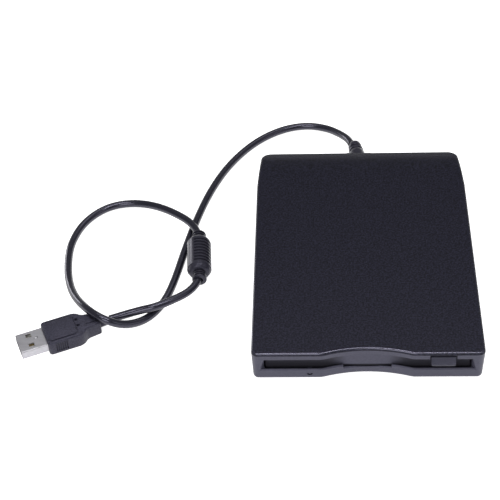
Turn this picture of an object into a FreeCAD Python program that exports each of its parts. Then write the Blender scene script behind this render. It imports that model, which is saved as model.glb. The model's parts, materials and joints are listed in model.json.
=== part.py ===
import FreeCAD, Part
import math
import os

from FreeCAD import Vector

# External 3.5 inch floppy disk drive with its captive USB cord.
# X to the right seen from the slot, Y to the rear, Z up, millimetres.
# The origin is under the middle of the drive, on the surface that it stands on.

os.makedirs("parts", exist_ok=True)

# ---------------------------------------------------------------- driving sizes
# the disk that the drive takes; the housing is built round it and its mechanism
DISK_W = 90.0
DISK_L = 94.0
DISK_T = 3.3
DISK_HUB_TO_LABEL = 47.5  # hub centre to the disk's label edge

# housing
SIDE_ROOM = 6.5           # disk's side to the drive's side: tray, chassis, slider, wall
FRONT_ROOM = 4.5          # front face to the label edge of a loaded disk
BOARD_BAY = 14.0          # chassis to rear face: USB board, stepper's end, cord exit
FOOT_H = 0.8              # what the feet stand proud of the bottom
WALL = 1.6
LID_T = 1.4               # the dark lid's plate, whose edge band reaches down to the seam
DRAFT = 0.6               # how far the tub's walls lean in towards the bottom
TOP_ROUND = 1.1
BOTTOM_ROUND = 1.6
FRONT_CORNER_R = 3.0
REAR_CORNER_R = 5.5
TAPER_RUN = 28.0          # length of the narrowing rear part
TAPER_IN = 1.7            # how much each side narrows over it
TAPER_BLEND_R = 60.0
ROLL_RUN = 20.0           # length of the sloping rear of the lid
ROLL_R = 66.0
SCOOP_R = 64.0            # finger scoop across the middle of the front wall
SCOOP_DEPTH = 3.2
SCOOP_BLEND_R = 8.0
LAP_T = 0.7               # rim of the lid that nests inside the tub
LAP_H = 1.3
LAP_GAP = 0.1
BOSS_W = 11.7             # raised block round the cord exit
BOSS_OUT = 1.6
BOSS_CHAMFER = 1.5
BOSS_H = 10.5

# disk slot, button and lamp in the front wall
SLOT_END_GAP = 1.0        # from the disk's side to the slot's inner end
SLOT_FLARE = 1.8          # extra half width at the face of the slot
CHEEK_D = 2.4             # depth of the flared guide at each slot end
SILL_DROP = 0.3           # slot's lower edge below the disk that slides in
SLOT_ROOM = 2.9           # height of the slot less the disk's thickness
LIP_H = 2.9               # tub's wall above the slot, up to the seam
LIP_WALL = 1.0            # the front wall is thinned to this around the slot
LIP_CHAMFER = 0.5         # along the slot's upper and lower edge
NOTCH_W = 21.4            # finger notch in the slot's lower lip
NOTCH_DROP = 1.6
BUTTON_W = 11.2
BUTTON_H = 3.5            # its face, bottom to top
BUTTON_INSET = 12.9       # slot's right end to the middle of the button
BUTTON_OUT = 1.6          # how far its ledge stands out of the front wall
BUTTON_SLANT = 1.7        # its upper edge stands out this much less
BUTTON_LEDGE = 1.1        # height of the upright band under the thumb face
BUTTON_HEAD_GAP = 1.6     # lid's edge to the top of the face
BUTTON_RISE = 0.8         # behind the face the button is this much taller, for the slider's tongue
BUTTON_BACK = 3.4         # front face to the button's rear face
BUTTON_GAP = 0.4
BUTTON_ROUND = 0.3
LAMP_INSET = 20.4         # slot's left end to the middle of the lamp
LAMP_RISE = 2.0           # lamp's middle above the floor
LAMP_D = 2.7
LAMP_LENS_D = 2.1         # the lens lies against the top of its hole
LAMP_GAP = 0.1
LAMP_OUT = 0.3
GATE_X = 48.0             # moulding gate marks beside the slot
GATE_DROP = 2.3           # below the slot's upper edge
GATE_D = 0.7

# mechanism
SHEET = 0.8               # chassis sheet
THIN_SHEET = 0.6          # holder, slider and lever sheet
RUN_GAP = 0.25            # between sheets that slide past each other
PIN_D = 1.6
PIN_GAP = 0.15
EJECT_TRAVEL = 4.5
DROP = 1.6                # how far the holder lowers the disk
TRACK0_R = 39.5           # spindle axis to the outer track
TRACK_TRAVEL = 14.8
CARRIAGE_L = 8.0
CARRIAGE_GAP = 4.0        # disk to the carriage at its innermost track
CARRIAGE_BACK_GAP = 2.7   # carriage at the outer track to the chassis' rear face
LEVER_SWING = 48.0
ARM_LIFT = 6.2            # degrees between the raised and the lowered upper head
ROTOR_D = 37.0
ROTOR_T = 0.4
MAGNET_T = 0.6
COIL_T = 0.6
COIL_COUNT = 12
SPINDLE_D = 4.0
BUSH_WALL = 1.5
RUNNING_FIT = 0.05
ROD_D = 3.0
SCREW_D = 3.0
STEPPER_D = 10.0
STEPPER_L = 10.5
BOARD_T = 0.6
BOARD_GAP = 0.6           # floor to the motor board
MAGNET_GAP = 0.2          # coils to the magnet
ROTOR_GAP = 0.3           # rotor to the loaded disk
USB_BOARD_T = 0.8
CASE_SCREW_D = 1.7
SMALL_SCREW_D = 2.0
DOOR_T = 0.9
DOOR_PIN_D = 1.4

# cord, ferrite and plug
CORD_D = 3.8
EXIT_Z = 8.0
RELIEF_D = 8.0
RELIEF_FLANGE_D = 7.0
RELIEF_SEAT_D = 5.0       # between its flanges, where it sits in the rear wall
RELIEF_OUT = 14.0         # length of the strain relief outside the boss
RELIEF_TIP_D = 4.8
RELIEF_LEAN = 13.6        # degrees that its sleeve leans to the left of +Y
RELIEF_DIP = 2.0          # degrees that it leans down
FERRITE_D = 11.7
FERRITE_L = 23.4
FERRITE_NECK_L = 4.3
FERRITE_NECK_D = 7.2
FERRITE_OFFSET = 10.0     # corner of the cord's route to the ferrite's body
FERRITE_NOSE = 3.0        # length over which the cover widens from its neck
FERRITE_COVER = 1.5       # cover's wall over the core
PLUG_W = 15.2
PLUG_T = 8.0
PLUG_L = 16.4             # wide part of the plug's moulding
PLUG_TAIL_W = 9.2
PLUG_TAIL_L = 9.8
PLUG_TAIL_TAPER = 0.7     # narrowing of each side of the tail towards the cord
PLUG_SHOULDER = 3.4       # length over which the tail widens to the wide part
PLUG_RIB_PITCH = 1.0      # grip grooves in the plug's sides
PLUG_NECK_D = 5.0
PLUG_NECK_L = 5.0
USB_W = 12.0
USB_T = 4.5
USB_L = 12.4
USB_WALL = 0.3
USB_WINDOW_X = 6.8        # plug's mouth to the far end of the shell's windows
USB_WINDOW_Y = 3.0
USB_WINDOW_L = 2.5
USB_WINDOW_W = 2.3
PLUG_ANGLE = 23.5         # degrees from X, the way the cord leaves the plug

# ---------------------------------------------------------------- derived places
# upwards from the floor
FLOOR_Z = FOOT_H + WALL
BOARD_Z = FLOOR_Z + BOARD_GAP                 # underside of the motor board
COIL_Z = BOARD_Z + BOARD_T
MAGNET_Z = COIL_Z + COIL_T + MAGNET_GAP
ROTOR_Z = MAGNET_Z + MAGNET_T
ROTOR_TOP = ROTOR_Z + ROTOR_T
LOADED_Z = ROTOR_TOP + ROTOR_GAP              # disk's underside when loaded
DISK_Z = LOADED_Z + DROP                      # disk's underside as it slides in
MEDIA_Z = LOADED_Z + DISK_T / 2
CHASSIS_Z = COIL_Z                            # underside of the chassis plate
CHASSIS_TOP = CHASSIS_Z + SHEET
SLOT_SILL = DISK_Z - SILL_DROP
SLOT_TOP = SLOT_SILL + DISK_T + SLOT_ROOM
SEAM_Z = SLOT_TOP + LIP_H
BODY_H = SEAM_Z + LID_T                       # 17.5, feet included

# outwards from the disk
BODY_W = DISK_W + 2 * SIDE_ROOM               # 103
HALF_W = BODY_W / 2
DISK_HALF = DISK_W / 2
SLOT_HALF = DISK_HALF + SLOT_END_GAP
BUTTON_X = SLOT_HALF - BUTTON_INSET
LAMP_X = LAMP_INSET - SLOT_HALF
LAMP_Z = FLOOR_Z + LAMP_RISE

# from the front face to the rear face
BODY_D = (FRONT_ROOM + DISK_L + CARRIAGE_GAP + TRACK_TRAVEL + CARRIAGE_L
          + CARRIAGE_BACK_GAP + BOARD_BAY)    # 142
FRONT_Y = -BODY_D / 2
REAR_Y = BODY_D / 2
SCOOP_Y = FRONT_Y + SCOOP_DEPTH
HUB_Y = FRONT_Y + FRONT_ROOM + DISK_HUB_TO_LABEL
DISK_REAR_Y = FRONT_Y + FRONT_ROOM + DISK_L
HOLDER_LIP_Z = DISK_Z - 0.2 - THIN_SHEET      # underside of the lips that carry the disk
HOLDER_TOP_Z = DISK_Z + DISK_T + 0.4          # underside of the holder's top plate
HOLDER_IN = DISK_HALF + 0.4
HOLDER_OUT = HOLDER_IN + THIN_SHEET
HOLDER_Y0 = FRONT_Y + 14.5
HOLDER_Y1 = DISK_REAR_Y + 0.6
CHASSIS_IN = HOLDER_OUT + RUN_GAP + 0.15
CHASSIS_OUT = CHASSIS_IN + SHEET
CHASSIS_Y0 = FRONT_Y + 13.0
CHASSIS_Y1 = REAR_Y - BOARD_BAY
CHASSIS_WALL_TOP = HOLDER_TOP_Z + 0.9
ARM_IN = CHASSIS_OUT + RUN_GAP                # slider arms run outside the chassis walls
ARM_OUT = ARM_IN + THIN_SHEET
LEVER_Z = HOLDER_TOP_Z + THIN_SHEET + 0.2
SLIDER_Z = LEVER_Z + THIN_SHEET + 0.65
SHIELD_T = 0.4
SHIELD_Z = SLIDER_Z + THIN_SHEET + 0.5
DOOR_Y = SCOOP_Y + 0.95 + DOOR_T / 2          # middle plane of the shut door
DOOR_PIVOT_Z = SLOT_TOP + 0.3
DOOR_BOTTOM = SLOT_SILL - NOTCH_DROP - 0.7
HEAD_Y = HUB_Y + TRACK0_R
CARRIAGE_Y0 = DISK_REAR_Y + TRACK_TRAVEL + CARRIAGE_GAP
ROD_X = 10.0
ROD_Z = LOADED_Z + 3.2
SCREW_X = 24.0
SCREW_Z = FLOOR_Z + 0.7 + STEPPER_D / 2
ARM_PIVOT_Y = CARRIAGE_Y0 + CARRIAGE_L - 1.6
ARM_Z = LOADED_Z + DISK_T + 0.5               # underside of the lowered upper arm
ARM_T = 0.9
ARM_PIVOT_Z = ARM_Z + ARM_T / 2
ARM_PIN_D = 1.0
ARM_EYE_D = 2.2


# ---------------------------------------------------------------- shape helpers
def save(name, shape):
    shape.exportStep("parts/" + name + ".step")


def box(x0, x1, y0, y1, z0, z1):
    return Part.makeBox(x1 - x0, y1 - y0, z1 - z0, Vector(x0, y0, z0))


def rod(start, end, diameter):
    axis = end - start
    return Part.makeCylinder(diameter / 2, axis.Length, start, axis)


def post(x, y, z0, z1, diameter):
    return rod(Vector(x, y, z0), Vector(x, y, z1), diameter)


def plate(points, z0, z1):
    """Flat plate with the given outline, seen from above."""
    wire = Part.makePolygon([Vector(x, y, z0) for x, y in points + points[:1]])
    return Part.Face(wire).extrude(Vector(0, 0, z1 - z0))


def side_profile(points, x0, x1):
    """Outline in the YZ plane, extruded along X."""
    wire = Part.makePolygon([Vector(x0, y, z) for y, z in points + points[:1]])
    return Part.Face(wire).extrude(Vector(x1 - x0, 0, 0))


def front_profile(points, y0, y1):
    """Outline in the XZ plane, extruded along Y."""
    wire = Part.makePolygon([Vector(x, y0, z) for x, z in points + points[:1]])
    return Part.Face(wire).extrude(Vector(0, y1 - y0, 0))


def slot(x0, y0, x1, y1, width, z0, z1):
    """Round-ended slot between two centres, as a solid to cut with."""
    along = Vector(x1 - x0, y1 - y0, 0)
    turn = math.degrees(math.atan2(along.y, along.x))
    bar = Part.makeBox(along.Length, width, z1 - z0, Vector(0, -width / 2, z0))
    bar.rotate(Vector(0, 0, 0), Vector(0, 0, 1), turn)
    bar.translate(Vector(x0, y0, 0))
    return bar.fuse([post(x0, y0, z0, z1, width), post(x1, y1, z0, z1, width)])


def ring(x, y, z0, z1, outer, inner):
    return post(x, y, z0, z1, outer).cut(post(x, y, z0 - 1, z1 + 1, inner))


def mirrored(shape):
    return shape.mirror(Vector(0, 0, 0), Vector(1, 0, 0))


def both_sides(shape):
    return shape.fuse(mirrored(shape))


def group(shapes):
    return Part.makeCompound(shapes)


# ---------------------------------------------------------------- housing
def corner_arc(before, corner, after, radius):
    """Tangent points and middle of the arc that rounds a corner."""
    to_before = (before - corner).normalize()
    to_after = (after - corner).normalize()
    half = to_before.getAngle(to_after) / 2
    start = corner + to_before * (radius / math.tan(half))
    end = corner + to_after * (radius / math.tan(half))
    middle_way = (to_before + to_after).normalize()
    middle = corner + middle_way * (radius / math.sin(half) - radius)
    return start, middle, end


def body_wire(z):
    """Plan outline of the housing: scooped front, tapered and rounded rear."""
    centre = Vector(0, SCOOP_Y - SCOOP_R, z)
    blend_y = FRONT_Y + SCOOP_BLEND_R
    reach = SCOOP_R + SCOOP_BLEND_R
    blend_x = math.sqrt(reach ** 2 - (blend_y - centre.y) ** 2)
    blend = Vector(blend_x, blend_y, z)
    on_scoop = centre + (blend - centre).normalize() * SCOOP_R
    on_front = Vector(blend_x, FRONT_Y, z)
    bulge = (centre - blend).normalize() + Vector(0, -1, 0)
    blend_mid = blend + bulge.normalize() * SCOOP_BLEND_R

    rear_x = HALF_W - TAPER_IN
    front = Vector(HALF_W, FRONT_Y, z)
    taper = Vector(HALF_W, REAR_Y - TAPER_RUN, z)
    rear = Vector(rear_x, REAR_Y, z)
    rear_middle = Vector(0, REAR_Y, z)
    arcs = [
        (on_scoop, blend_mid, on_front),
        corner_arc(on_front, front, taper, FRONT_CORNER_R),
        corner_arc(front, taper, rear, TAPER_BLEND_R),
        corner_arc(taper, rear, rear_middle, REAR_CORNER_R),
    ]

    def flip(point):
        return Vector(-point.x, point.y, point.z)

    arcs += [tuple(flip(point) for point in reversed(arc)) for arc in reversed(arcs)]
    edges = []
    for here, following in zip(arcs, arcs[1:] + arcs[:1]):
        edges.append(Part.Arc(*here).toShape())
        if following is not arcs[0]:
            edges.append(Part.LineSegment(here[2], following[0]).toShape())
    scoop_mid = Vector(0, SCOOP_Y, z)
    edges.append(Part.Arc(flip(on_scoop), scoop_mid, on_scoop).toShape())
    return Part.Wire(edges)


def outline(z, inset):
    wire = body_wire(z)
    if inset == 0:
        return wire
    return wire.makeOffset2D(-inset)


def above_roof(drop):
    """Everything above the lid's outer surface, lowered by drop."""
    far = REAR_Y + 10
    start = REAR_Y - ROLL_RUN
    top = BODY_H - drop
    middle_angle = math.asin(ROLL_RUN / ROLL_R) / 2
    mid = Vector(0, start + ROLL_R * math.sin(middle_angle), top - ROLL_R * (1 - math.cos(middle_angle)))
    rear_drop = ROLL_R - math.sqrt(ROLL_R ** 2 - ROLL_RUN ** 2)
    end = Vector(0, REAR_Y, top - rear_drop)
    slope = ROLL_RUN / math.sqrt(ROLL_R ** 2 - ROLL_RUN ** 2)
    tail = Vector(0, far, end.z - (far - REAR_Y) * slope)
    first = Vector(0, FRONT_Y - 10, top)
    bend = Vector(0, start, top)
    edges = [
        Part.LineSegment(first, bend).toShape(),
        Part.Arc(bend, mid, end).toShape(),
        Part.LineSegment(end, tail).toShape(),
        Part.LineSegment(tail, Vector(0, far, BODY_H + 20)).toShape(),
        Part.LineSegment(Vector(0, far, BODY_H + 20), Vector(0, FRONT_Y - 10, BODY_H + 20)).toShape(),
        Part.LineSegment(Vector(0, FRONT_Y - 10, BODY_H + 20), first).toShape(),
    ]
    face = Part.Face(Part.Wire(edges))
    face.translate(Vector(-BODY_W, 0, 0))
    return face.extrude(Vector(2 * BODY_W, 0, 0))


def housing_block():
    """Outer form of lid and tub together, with the block round the cord exit."""
    block = Part.makeLoft([outline(FOOT_H, DRAFT), outline(BODY_H, 0)], True, True)
    block = block.cut(above_roof(0))
    bottom = [edge for edge in block.Edges if edge.BoundBox.ZMax < FOOT_H + 0.01]
    block = block.makeFillet(BOTTOM_ROUND, bottom)
    top = [edge for edge in block.Edges if on_roof_edge(edge)]
    block = block.makeFillet(TOP_ROUND, top)
    foot = BOSS_W / 2 + BOSS_CHAMFER
    boss = plate([(-foot, REAR_Y - 1), (-foot, REAR_Y), (-BOSS_W / 2, REAR_Y + BOSS_OUT),
                  (BOSS_W / 2, REAR_Y + BOSS_OUT), (foot, REAR_Y), (foot, REAR_Y - 1)],
                 FOOT_H + BOTTOM_ROUND, FOOT_H + BOTTOM_ROUND + BOSS_H)
    return block.fuse(boss).removeSplitter()


def on_roof_edge(edge):
    """True for an edge where the walls meet the lid's top surface."""
    middle = edge.valueAt((edge.FirstParameter + edge.LastParameter) / 2)
    past = max(0, middle.y - (REAR_Y - ROLL_RUN))
    roof = BODY_H - (ROLL_R - math.sqrt(ROLL_R ** 2 - past ** 2))
    if abs(middle.z - roof) > 0.05:
        return False
    return edge.Length > 0.5 and not crosses_roof(edge)


def crosses_roof(edge):
    """True for the straight edge where the flat top turns into the slope."""
    box_ = edge.BoundBox
    return box_.YLength < 0.01 and abs(box_.YMin - (REAR_Y - ROLL_RUN)) < 0.1


def housing_cavity():
    cavity = Part.makeLoft([outline(FLOOR_Z, DRAFT + WALL), outline(BODY_H, WALL)], True, True)
    return cavity.cut(above_roof(LID_T))


# case screws at the four corners: (x, y)
CASE_POSTS = [(HALF_W - 4.2, FRONT_Y + 10.4), (HALF_W - 7.0, REAR_Y - 9.0)]
POST_D = 3.6
POST_SEAM_Z = FLOOR_Z + 7.0
HEAD_D = 3.2


def case_posts(z0, z1, diameter):
    posts = []
    for x, y in CASE_POSTS:
        posts.append(post(x, y, z0, z1, diameter))
        posts.append(post(-x, y, z0, z1, diameter))
    return posts


# screws that hold the chassis and the boards down: (x, y)
MOUNT_X0 = DISK_HALF - 5.0
MOUNT_X1 = DISK_HALF - 3.0
CHASSIS_MOUNTS = [(-MOUNT_X0, CHASSIS_Y0 + 3.0), (MOUNT_X0, CHASSIS_Y0 + 3.0),
                  (-MOUNT_X1, CHASSIS_Y1 - 3.0), (MOUNT_X1, CHASSIS_Y1 - 3.0)]
USB_BOARD_X0 = 3.0 - DISK_HALF
USB_BOARD_X1 = 16.0
USB_BOARD_MOUNTS = [(USB_BOARD_X0 + 10.0, REAR_Y - 6.0), (USB_BOARD_X1 - 4.0, REAR_Y - 6.0)]
USB_BOARD_Y = CHASSIS_Y1 + 7.5   # row of its larger components
USB_BOARD_Z = FLOOR_Z + 1.2
MOUNT_BOSS_D = 4.6

FOOT_D = 8.0
FOOT_RECESS = 0.4
FOOT_INSET_X = 13.5
FOOT_INSET_Y = 15.0


def feet_places():
    x = HALF_W - FOOT_INSET_X
    return [(side_x * x, side_y * (REAR_Y - FOOT_INSET_Y)) for side_y in (-1, 1) for side_x in (-1, 1)]


def slot_cut():
    """Disk slot with ends that flare outwards and downwards, the finger notch and the button's notch."""
    y0 = FRONT_Y - 2
    inner_y = FRONT_Y + CHEEK_D
    wide = SLOT_HALF + SLOT_FLARE
    through = box(-SLOT_HALF, SLOT_HALF, y0, inner_y + 4, SLOT_SILL, SLOT_TOP)
    flare = plate([(-wide, y0), (wide, y0), (wide, FRONT_Y), (SLOT_HALF, inner_y),
                   (-SLOT_HALF, inner_y), (-wide, FRONT_Y)], SLOT_SILL, SLOT_TOP)
    flare = flare.common(front_profile([(-wide, SLOT_SILL), (wide, SLOT_SILL), (SLOT_HALF, SLOT_TOP),
                                        (-SLOT_HALF, SLOT_TOP)], y0, inner_y))
    notch = box(-NOTCH_W / 2, NOTCH_W / 2, y0, inner_y + 4, SLOT_SILL - NOTCH_DROP, SLOT_SILL + 1)
    side = BUTTON_W / 2 + BUTTON_GAP
    button = box(BUTTON_X - side, BUTTON_X + side, y0, FRONT_Y + WALL + 1, SLOT_TOP - 1, SEAM_Z)
    return through.fuse([flare, notch, button])


def lip_chamfer(half, z_sharp, z_face):
    """Chamfer of one edge of the slot, from the height of the slot's edge to that on the wall's face."""
    low = min(z_sharp, z_face)
    high = max(z_sharp, z_face)
    lean = DRAFT * (1 - (low - FOOT_H) / (BODY_H - FOOT_H))
    insets = [lean, lean + LIP_CHAMFER] if z_sharp > z_face else [lean + LIP_CHAMFER, lean]
    kept = Part.makeLoft([outline(low, insets[0]), outline(high, insets[1])], True, True)
    return box(-half, half, FRONT_Y - 2, SCOOP_Y + 1.5, low, high).cut(kept)


def door_room():
    """Pocket behind the front wall in which the dust door hangs; it thins the wall round the slot."""
    half = SLOT_HALF - 0.4
    low = DOOR_BOTTOM - 0.6
    room = box(-half, half, DOOR_Y - DOOR_T / 2 - 0.25, FRONT_Y + 8, low, SEAM_Z - 0.4)
    inner = Part.Face(outline(low, LIP_WALL + DRAFT / 2)).extrude(Vector(0, 0, SLOT_TOP - low))
    return room.fuse(inner.common(box(-half, half, FRONT_Y, FRONT_Y + 8, low, SLOT_TOP)))


def cheek():
    """Guide block at the right end of the slot; it holds the door's pin."""
    block = box(SLOT_HALF - 0.1, HALF_W, FRONT_Y + 1.0, DOOR_Y + 2.0, FLOOR_Z - 0.5, SEAM_Z - LAP_H - 0.3)
    return block.common(housing_block_inner())


def housing_block_inner():
    return Part.makeLoft([outline(FLOOR_Z - 0.6, DRAFT + 0.8), outline(BODY_H, 0.8)], True, True)


def bottom_cover(block, cavity):
    tub = block.cut(above_roof(LID_T)).cut(cavity)
    tub = tub.fuse(both_sides(cheek()))
    tub = tub.fuse(case_posts(FLOOR_Z - 0.5, POST_SEAM_Z, POST_D))
    bosses = [post(x, y, FLOOR_Z - 0.5, CHASSIS_Z, MOUNT_BOSS_D) for x, y in CHASSIS_MOUNTS]
    bosses += [post(x, y, FLOOR_Z - 0.5, USB_BOARD_Z, MOUNT_BOSS_D) for x, y in USB_BOARD_MOUNTS]
    tub = tub.fuse(bosses)
    tub = tub.cut(slot_cut())
    tub = tub.cut(door_room())
    wide = SLOT_HALF + SLOT_FLARE
    notch_sill = SLOT_SILL - NOTCH_DROP
    tub = tub.cut([lip_chamfer(wide, SLOT_SILL, SLOT_SILL - LIP_CHAMFER),
                   lip_chamfer(SLOT_HALF, SLOT_TOP, SLOT_TOP + LIP_CHAMFER),
                   lip_chamfer(NOTCH_W / 2, notch_sill, notch_sill - LIP_CHAMFER)])
    tools = [rod(Vector(LAMP_X, FRONT_Y - 1, LAMP_Z), Vector(LAMP_X, FRONT_Y + WALL + 1, LAMP_Z), LAMP_D)]
    gate_z = SLOT_TOP - GATE_DROP
    tools += [rod(Vector(x, FRONT_Y - 1, gate_z), Vector(x, FRONT_Y + 0.3, gate_z), GATE_D)
              for x in (-GATE_X, GATE_X)]
    door_hole = DOOR_PIN_D + 2 * PIN_GAP
    tools.append(rod(Vector(-SLOT_HALF - 1.2, DOOR_Y, DOOR_PIVOT_Z),
                     Vector(SLOT_HALF + 1.2, DOOR_Y, DOOR_PIVOT_Z), door_hole))
    tools += case_posts(FOOT_H - 1, POST_SEAM_Z + 1, CASE_SCREW_D)
    tools += case_posts(FOOT_H - 1, FLOOR_Z - 0.2, HEAD_D)
    tools += [post(x, y, FOOT_H - 1, FOOT_H + FOOT_RECESS, FOOT_D) for x, y in feet_places()]
    pilot = SMALL_SCREW_D - 0.4
    tools += [post(x, y, FLOOR_Z - 0.6, CHASSIS_Z + 1, pilot) for x, y in CHASSIS_MOUNTS]
    tools += [post(x, y, FLOOR_Z - 0.6, USB_BOARD_Z + 1, pilot) for x, y in USB_BOARD_MOUNTS]
    tools.append(relief_seat())
    return tub.cut(tools)


def relief_bore():
    y0 = REAR_Y - WALL - DRAFT - 1
    return rod(Vector(0, y0, EXIT_Z), Vector(0, REAR_Y + BOSS_OUT + 1, EXIT_Z), RELIEF_SEAT_D)


def relief_seat():
    """Open-topped seat in the rear wall that the strain relief drops into."""
    half = RELIEF_SEAT_D / 2
    bore = relief_bore()
    mouth = box(-half, half, bore.BoundBox.YMin, bore.BoundBox.YMax, EXIT_Z, BODY_H)
    return bore.fuse(mouth)


def top_cover(block, cavity):
    lid = block.common(above_roof(LID_T)).cut(cavity)
    rim_outer = Part.makeLoft([outline(FLOOR_Z, DRAFT + WALL + LAP_GAP), outline(BODY_H, WALL + LAP_GAP)],
                              True, True)
    rim_inner = Part.makeLoft([outline(FLOOR_Z, DRAFT + WALL + LAP_T), outline(BODY_H, WALL + LAP_T)],
                              True, True)
    rim = rim_outer.cut(rim_inner).common(above_roof(LID_T + LAP_H)).cut(above_roof(LID_T - 0.3))
    rim = rim.cut(box(-HALF_W, HALF_W, FRONT_Y - 1, FRONT_Y + 12, 0, BODY_H))
    lid = lid.fuse(rim)
    lid = lid.fuse(case_posts(POST_SEAM_Z, SEAM_Z + 0.3, POST_D))
    half = RELIEF_SEAT_D / 2 - LAP_GAP
    tab = box(-half, half, REAR_Y - WALL, REAR_Y + BOSS_OUT - 0.2, EXIT_Z + half + LAP_GAP, BODY_H - 3)
    tab = tab.cut(above_roof(LID_T - 0.2)).cut(relief_bore())
    lid = lid.fuse(tab)
    pilot = CASE_SCREW_D - 0.3
    return lid.cut(case_posts(POST_SEAM_Z - 1, SEAM_Z - 1.5, pilot)).cut(above_roof(0))


def feet():
    return group([post(x, y, 0, FOOT_H + FOOT_RECESS, FOOT_D - 0.4) for x, y in feet_places()])


def case_screws():
    screws = []
    head_z = FOOT_H + 0.5
    for x, y in CASE_POSTS:
        for side in (-1, 1):
            head = post(side * x, y, head_z, FLOOR_Z - 0.2, HEAD_D - 0.3)
            shank = post(side * x, y, head_z, SEAM_Z - 2.5, CASE_SCREW_D - 0.3)
            screws.append(head.fuse(shank))
    return group(screws)


# ---------------------------------------------------------------- front pieces
def eject_button():
    """Wedge-faced key on a stem; its back is hollow where the slider's tongue enters."""
    back = FRONT_Y + BUTTON_BACK
    top = SEAM_Z - BUTTON_HEAD_GAP
    low = top - BUTTON_H
    out = FRONT_Y - BUTTON_OUT
    step = FRONT_Y + LIP_WALL + BUTTON_ROUND
    high = top + BUTTON_RISE
    key = side_profile([(out, low), (back, low), (back, high), (step, high), (step, top),
                        (out + BUTTON_SLANT, top), (out, low + BUTTON_LEDGE)],
                       BUTTON_X - BUTTON_W / 2, BUTTON_X + BUTTON_W / 2)
    rounded = [edge for edge in key.Edges if edge.BoundBox.YMax < step - 0.01]
    key = key.makeFillet(BUTTON_ROUND, rounded)
    return key.cut(tongue())


def dust_door():
    """Flap across the whole slot, hung from two pins in the cheeks."""
    half = SLOT_HALF - 0.7
    top = DOOR_PIVOT_Z + DOOR_PIN_D / 2
    flap = box(-half, half, DOOR_Y - DOOR_T / 2, DOOR_Y + DOOR_T / 2, DOOR_BOTTOM, top)
    reach = SLOT_HALF + 0.9
    axle = rod(Vector(-reach, DOOR_Y, DOOR_PIVOT_Z), Vector(reach, DOOR_Y, DOOR_PIVOT_Z), DOOR_PIN_D)
    return flap.fuse(axle)


def led_lens():
    """Lens with a rounded nose on a flat guide that leads back to the lamp under the chassis."""
    lens_z = LAMP_Z + (LAMP_D - LAMP_LENS_D) / 2 - LAMP_GAP
    start = Vector(LAMP_X, FRONT_Y - LAMP_OUT, lens_z)
    lens = rod(start, Vector(LAMP_X, FRONT_Y + WALL + 1.2, lens_z), LAMP_LENS_D)
    nose = [edge for edge in lens.Edges if edge.BoundBox.YMax < FRONT_Y]
    lens = lens.makeFillet(LAMP_OUT, nose)
    guide = box(LAMP_X - 1.1, LAMP_X + 1.1, FRONT_Y + WALL + DRAFT + 0.2, CHASSIS_Y0 - 2.8,
                FLOOR_Z + 0.4, DOOR_BOTTOM - 0.3)
    return lens.fuse(guide)


# ---------------------------------------------------------------- eject slider
SLIDER_Y0 = HOLDER_Y0 + 10.0
SLIDER_L = 34.0            # slider's plate, along the travel
SLIDER_Y1 = SLIDER_Y0 + SLIDER_L
SLIDER_BAR = 12.0          # plate in front of its window
SLIDER_WINDOW_X0 = 20.0    # half width of the window at its front and at its rear
SLIDER_WINDOW_X1 = DISK_HALF - 11.0
SLIDER_ARM_Y1 = DISK_REAR_Y - 1.5
TONGUE_W = 6.0
TONGUE_GRIP = 1.6          # how far it reaches into the button
TONGUE_RISE = 1.3          # step that lifts the tongue over the dust door's pivot
PIN_YS = (HOLDER_Y0 + 17.0, DISK_REAR_Y - 11.5)
PIN_Z = HOLDER_TOP_Z - 2.2
GUIDE_X = 24.0             # headed studs that guide the slider
GUIDE_Y = SLIDER_Y0 + 5.5
GUIDE_D = 2.4


def tongue():
    """Strip that carries the button: it steps up and runs out through the front wall."""
    z0 = SLIDER_Z
    z1 = SLIDER_Z + THIN_SHEET
    front = FRONT_Y + BUTTON_BACK - TONGUE_GRIP
    step = HOLDER_Y0 - 0.6
    points = [(SLIDER_Y0 + 1, z0), (step + TONGUE_RISE, z0), (step, z0 + TONGUE_RISE),
              (front, z0 + TONGUE_RISE), (front, z1 + TONGUE_RISE), (step, z1 + TONGUE_RISE),
              (step + TONGUE_RISE, z1), (SLIDER_Y0 + 1, z1)]
    return side_profile(points, BUTTON_X - TONGUE_W / 2, BUTTON_X + TONGUE_W / 2)


def ramp_slot(y, margin):
    """Sloping slot of a slider arm, in the YZ plane: it draws a holder pin down."""
    width = PIN_D + 2 * margin
    start = Vector(0, y, PIN_Z)
    end = Vector(0, y + EJECT_TRAVEL, PIN_Z - DROP)
    lean = math.degrees(math.atan2(-DROP, EJECT_TRAVEL))
    bar = Part.makeBox(6, (end - start).Length, width, Vector(-3, 0, -width / 2))
    bar.rotate(Vector(0, 0, 0), Vector(1, 0, 0), lean)
    bar.translate(start)
    shape = bar.fuse([rod(p - Vector(3, 0, 0), p + Vector(3, 0, 0), width) for p in (start, end)])
    shape.translate(Vector(ARM_IN, 0, 0))
    return shape


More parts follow.
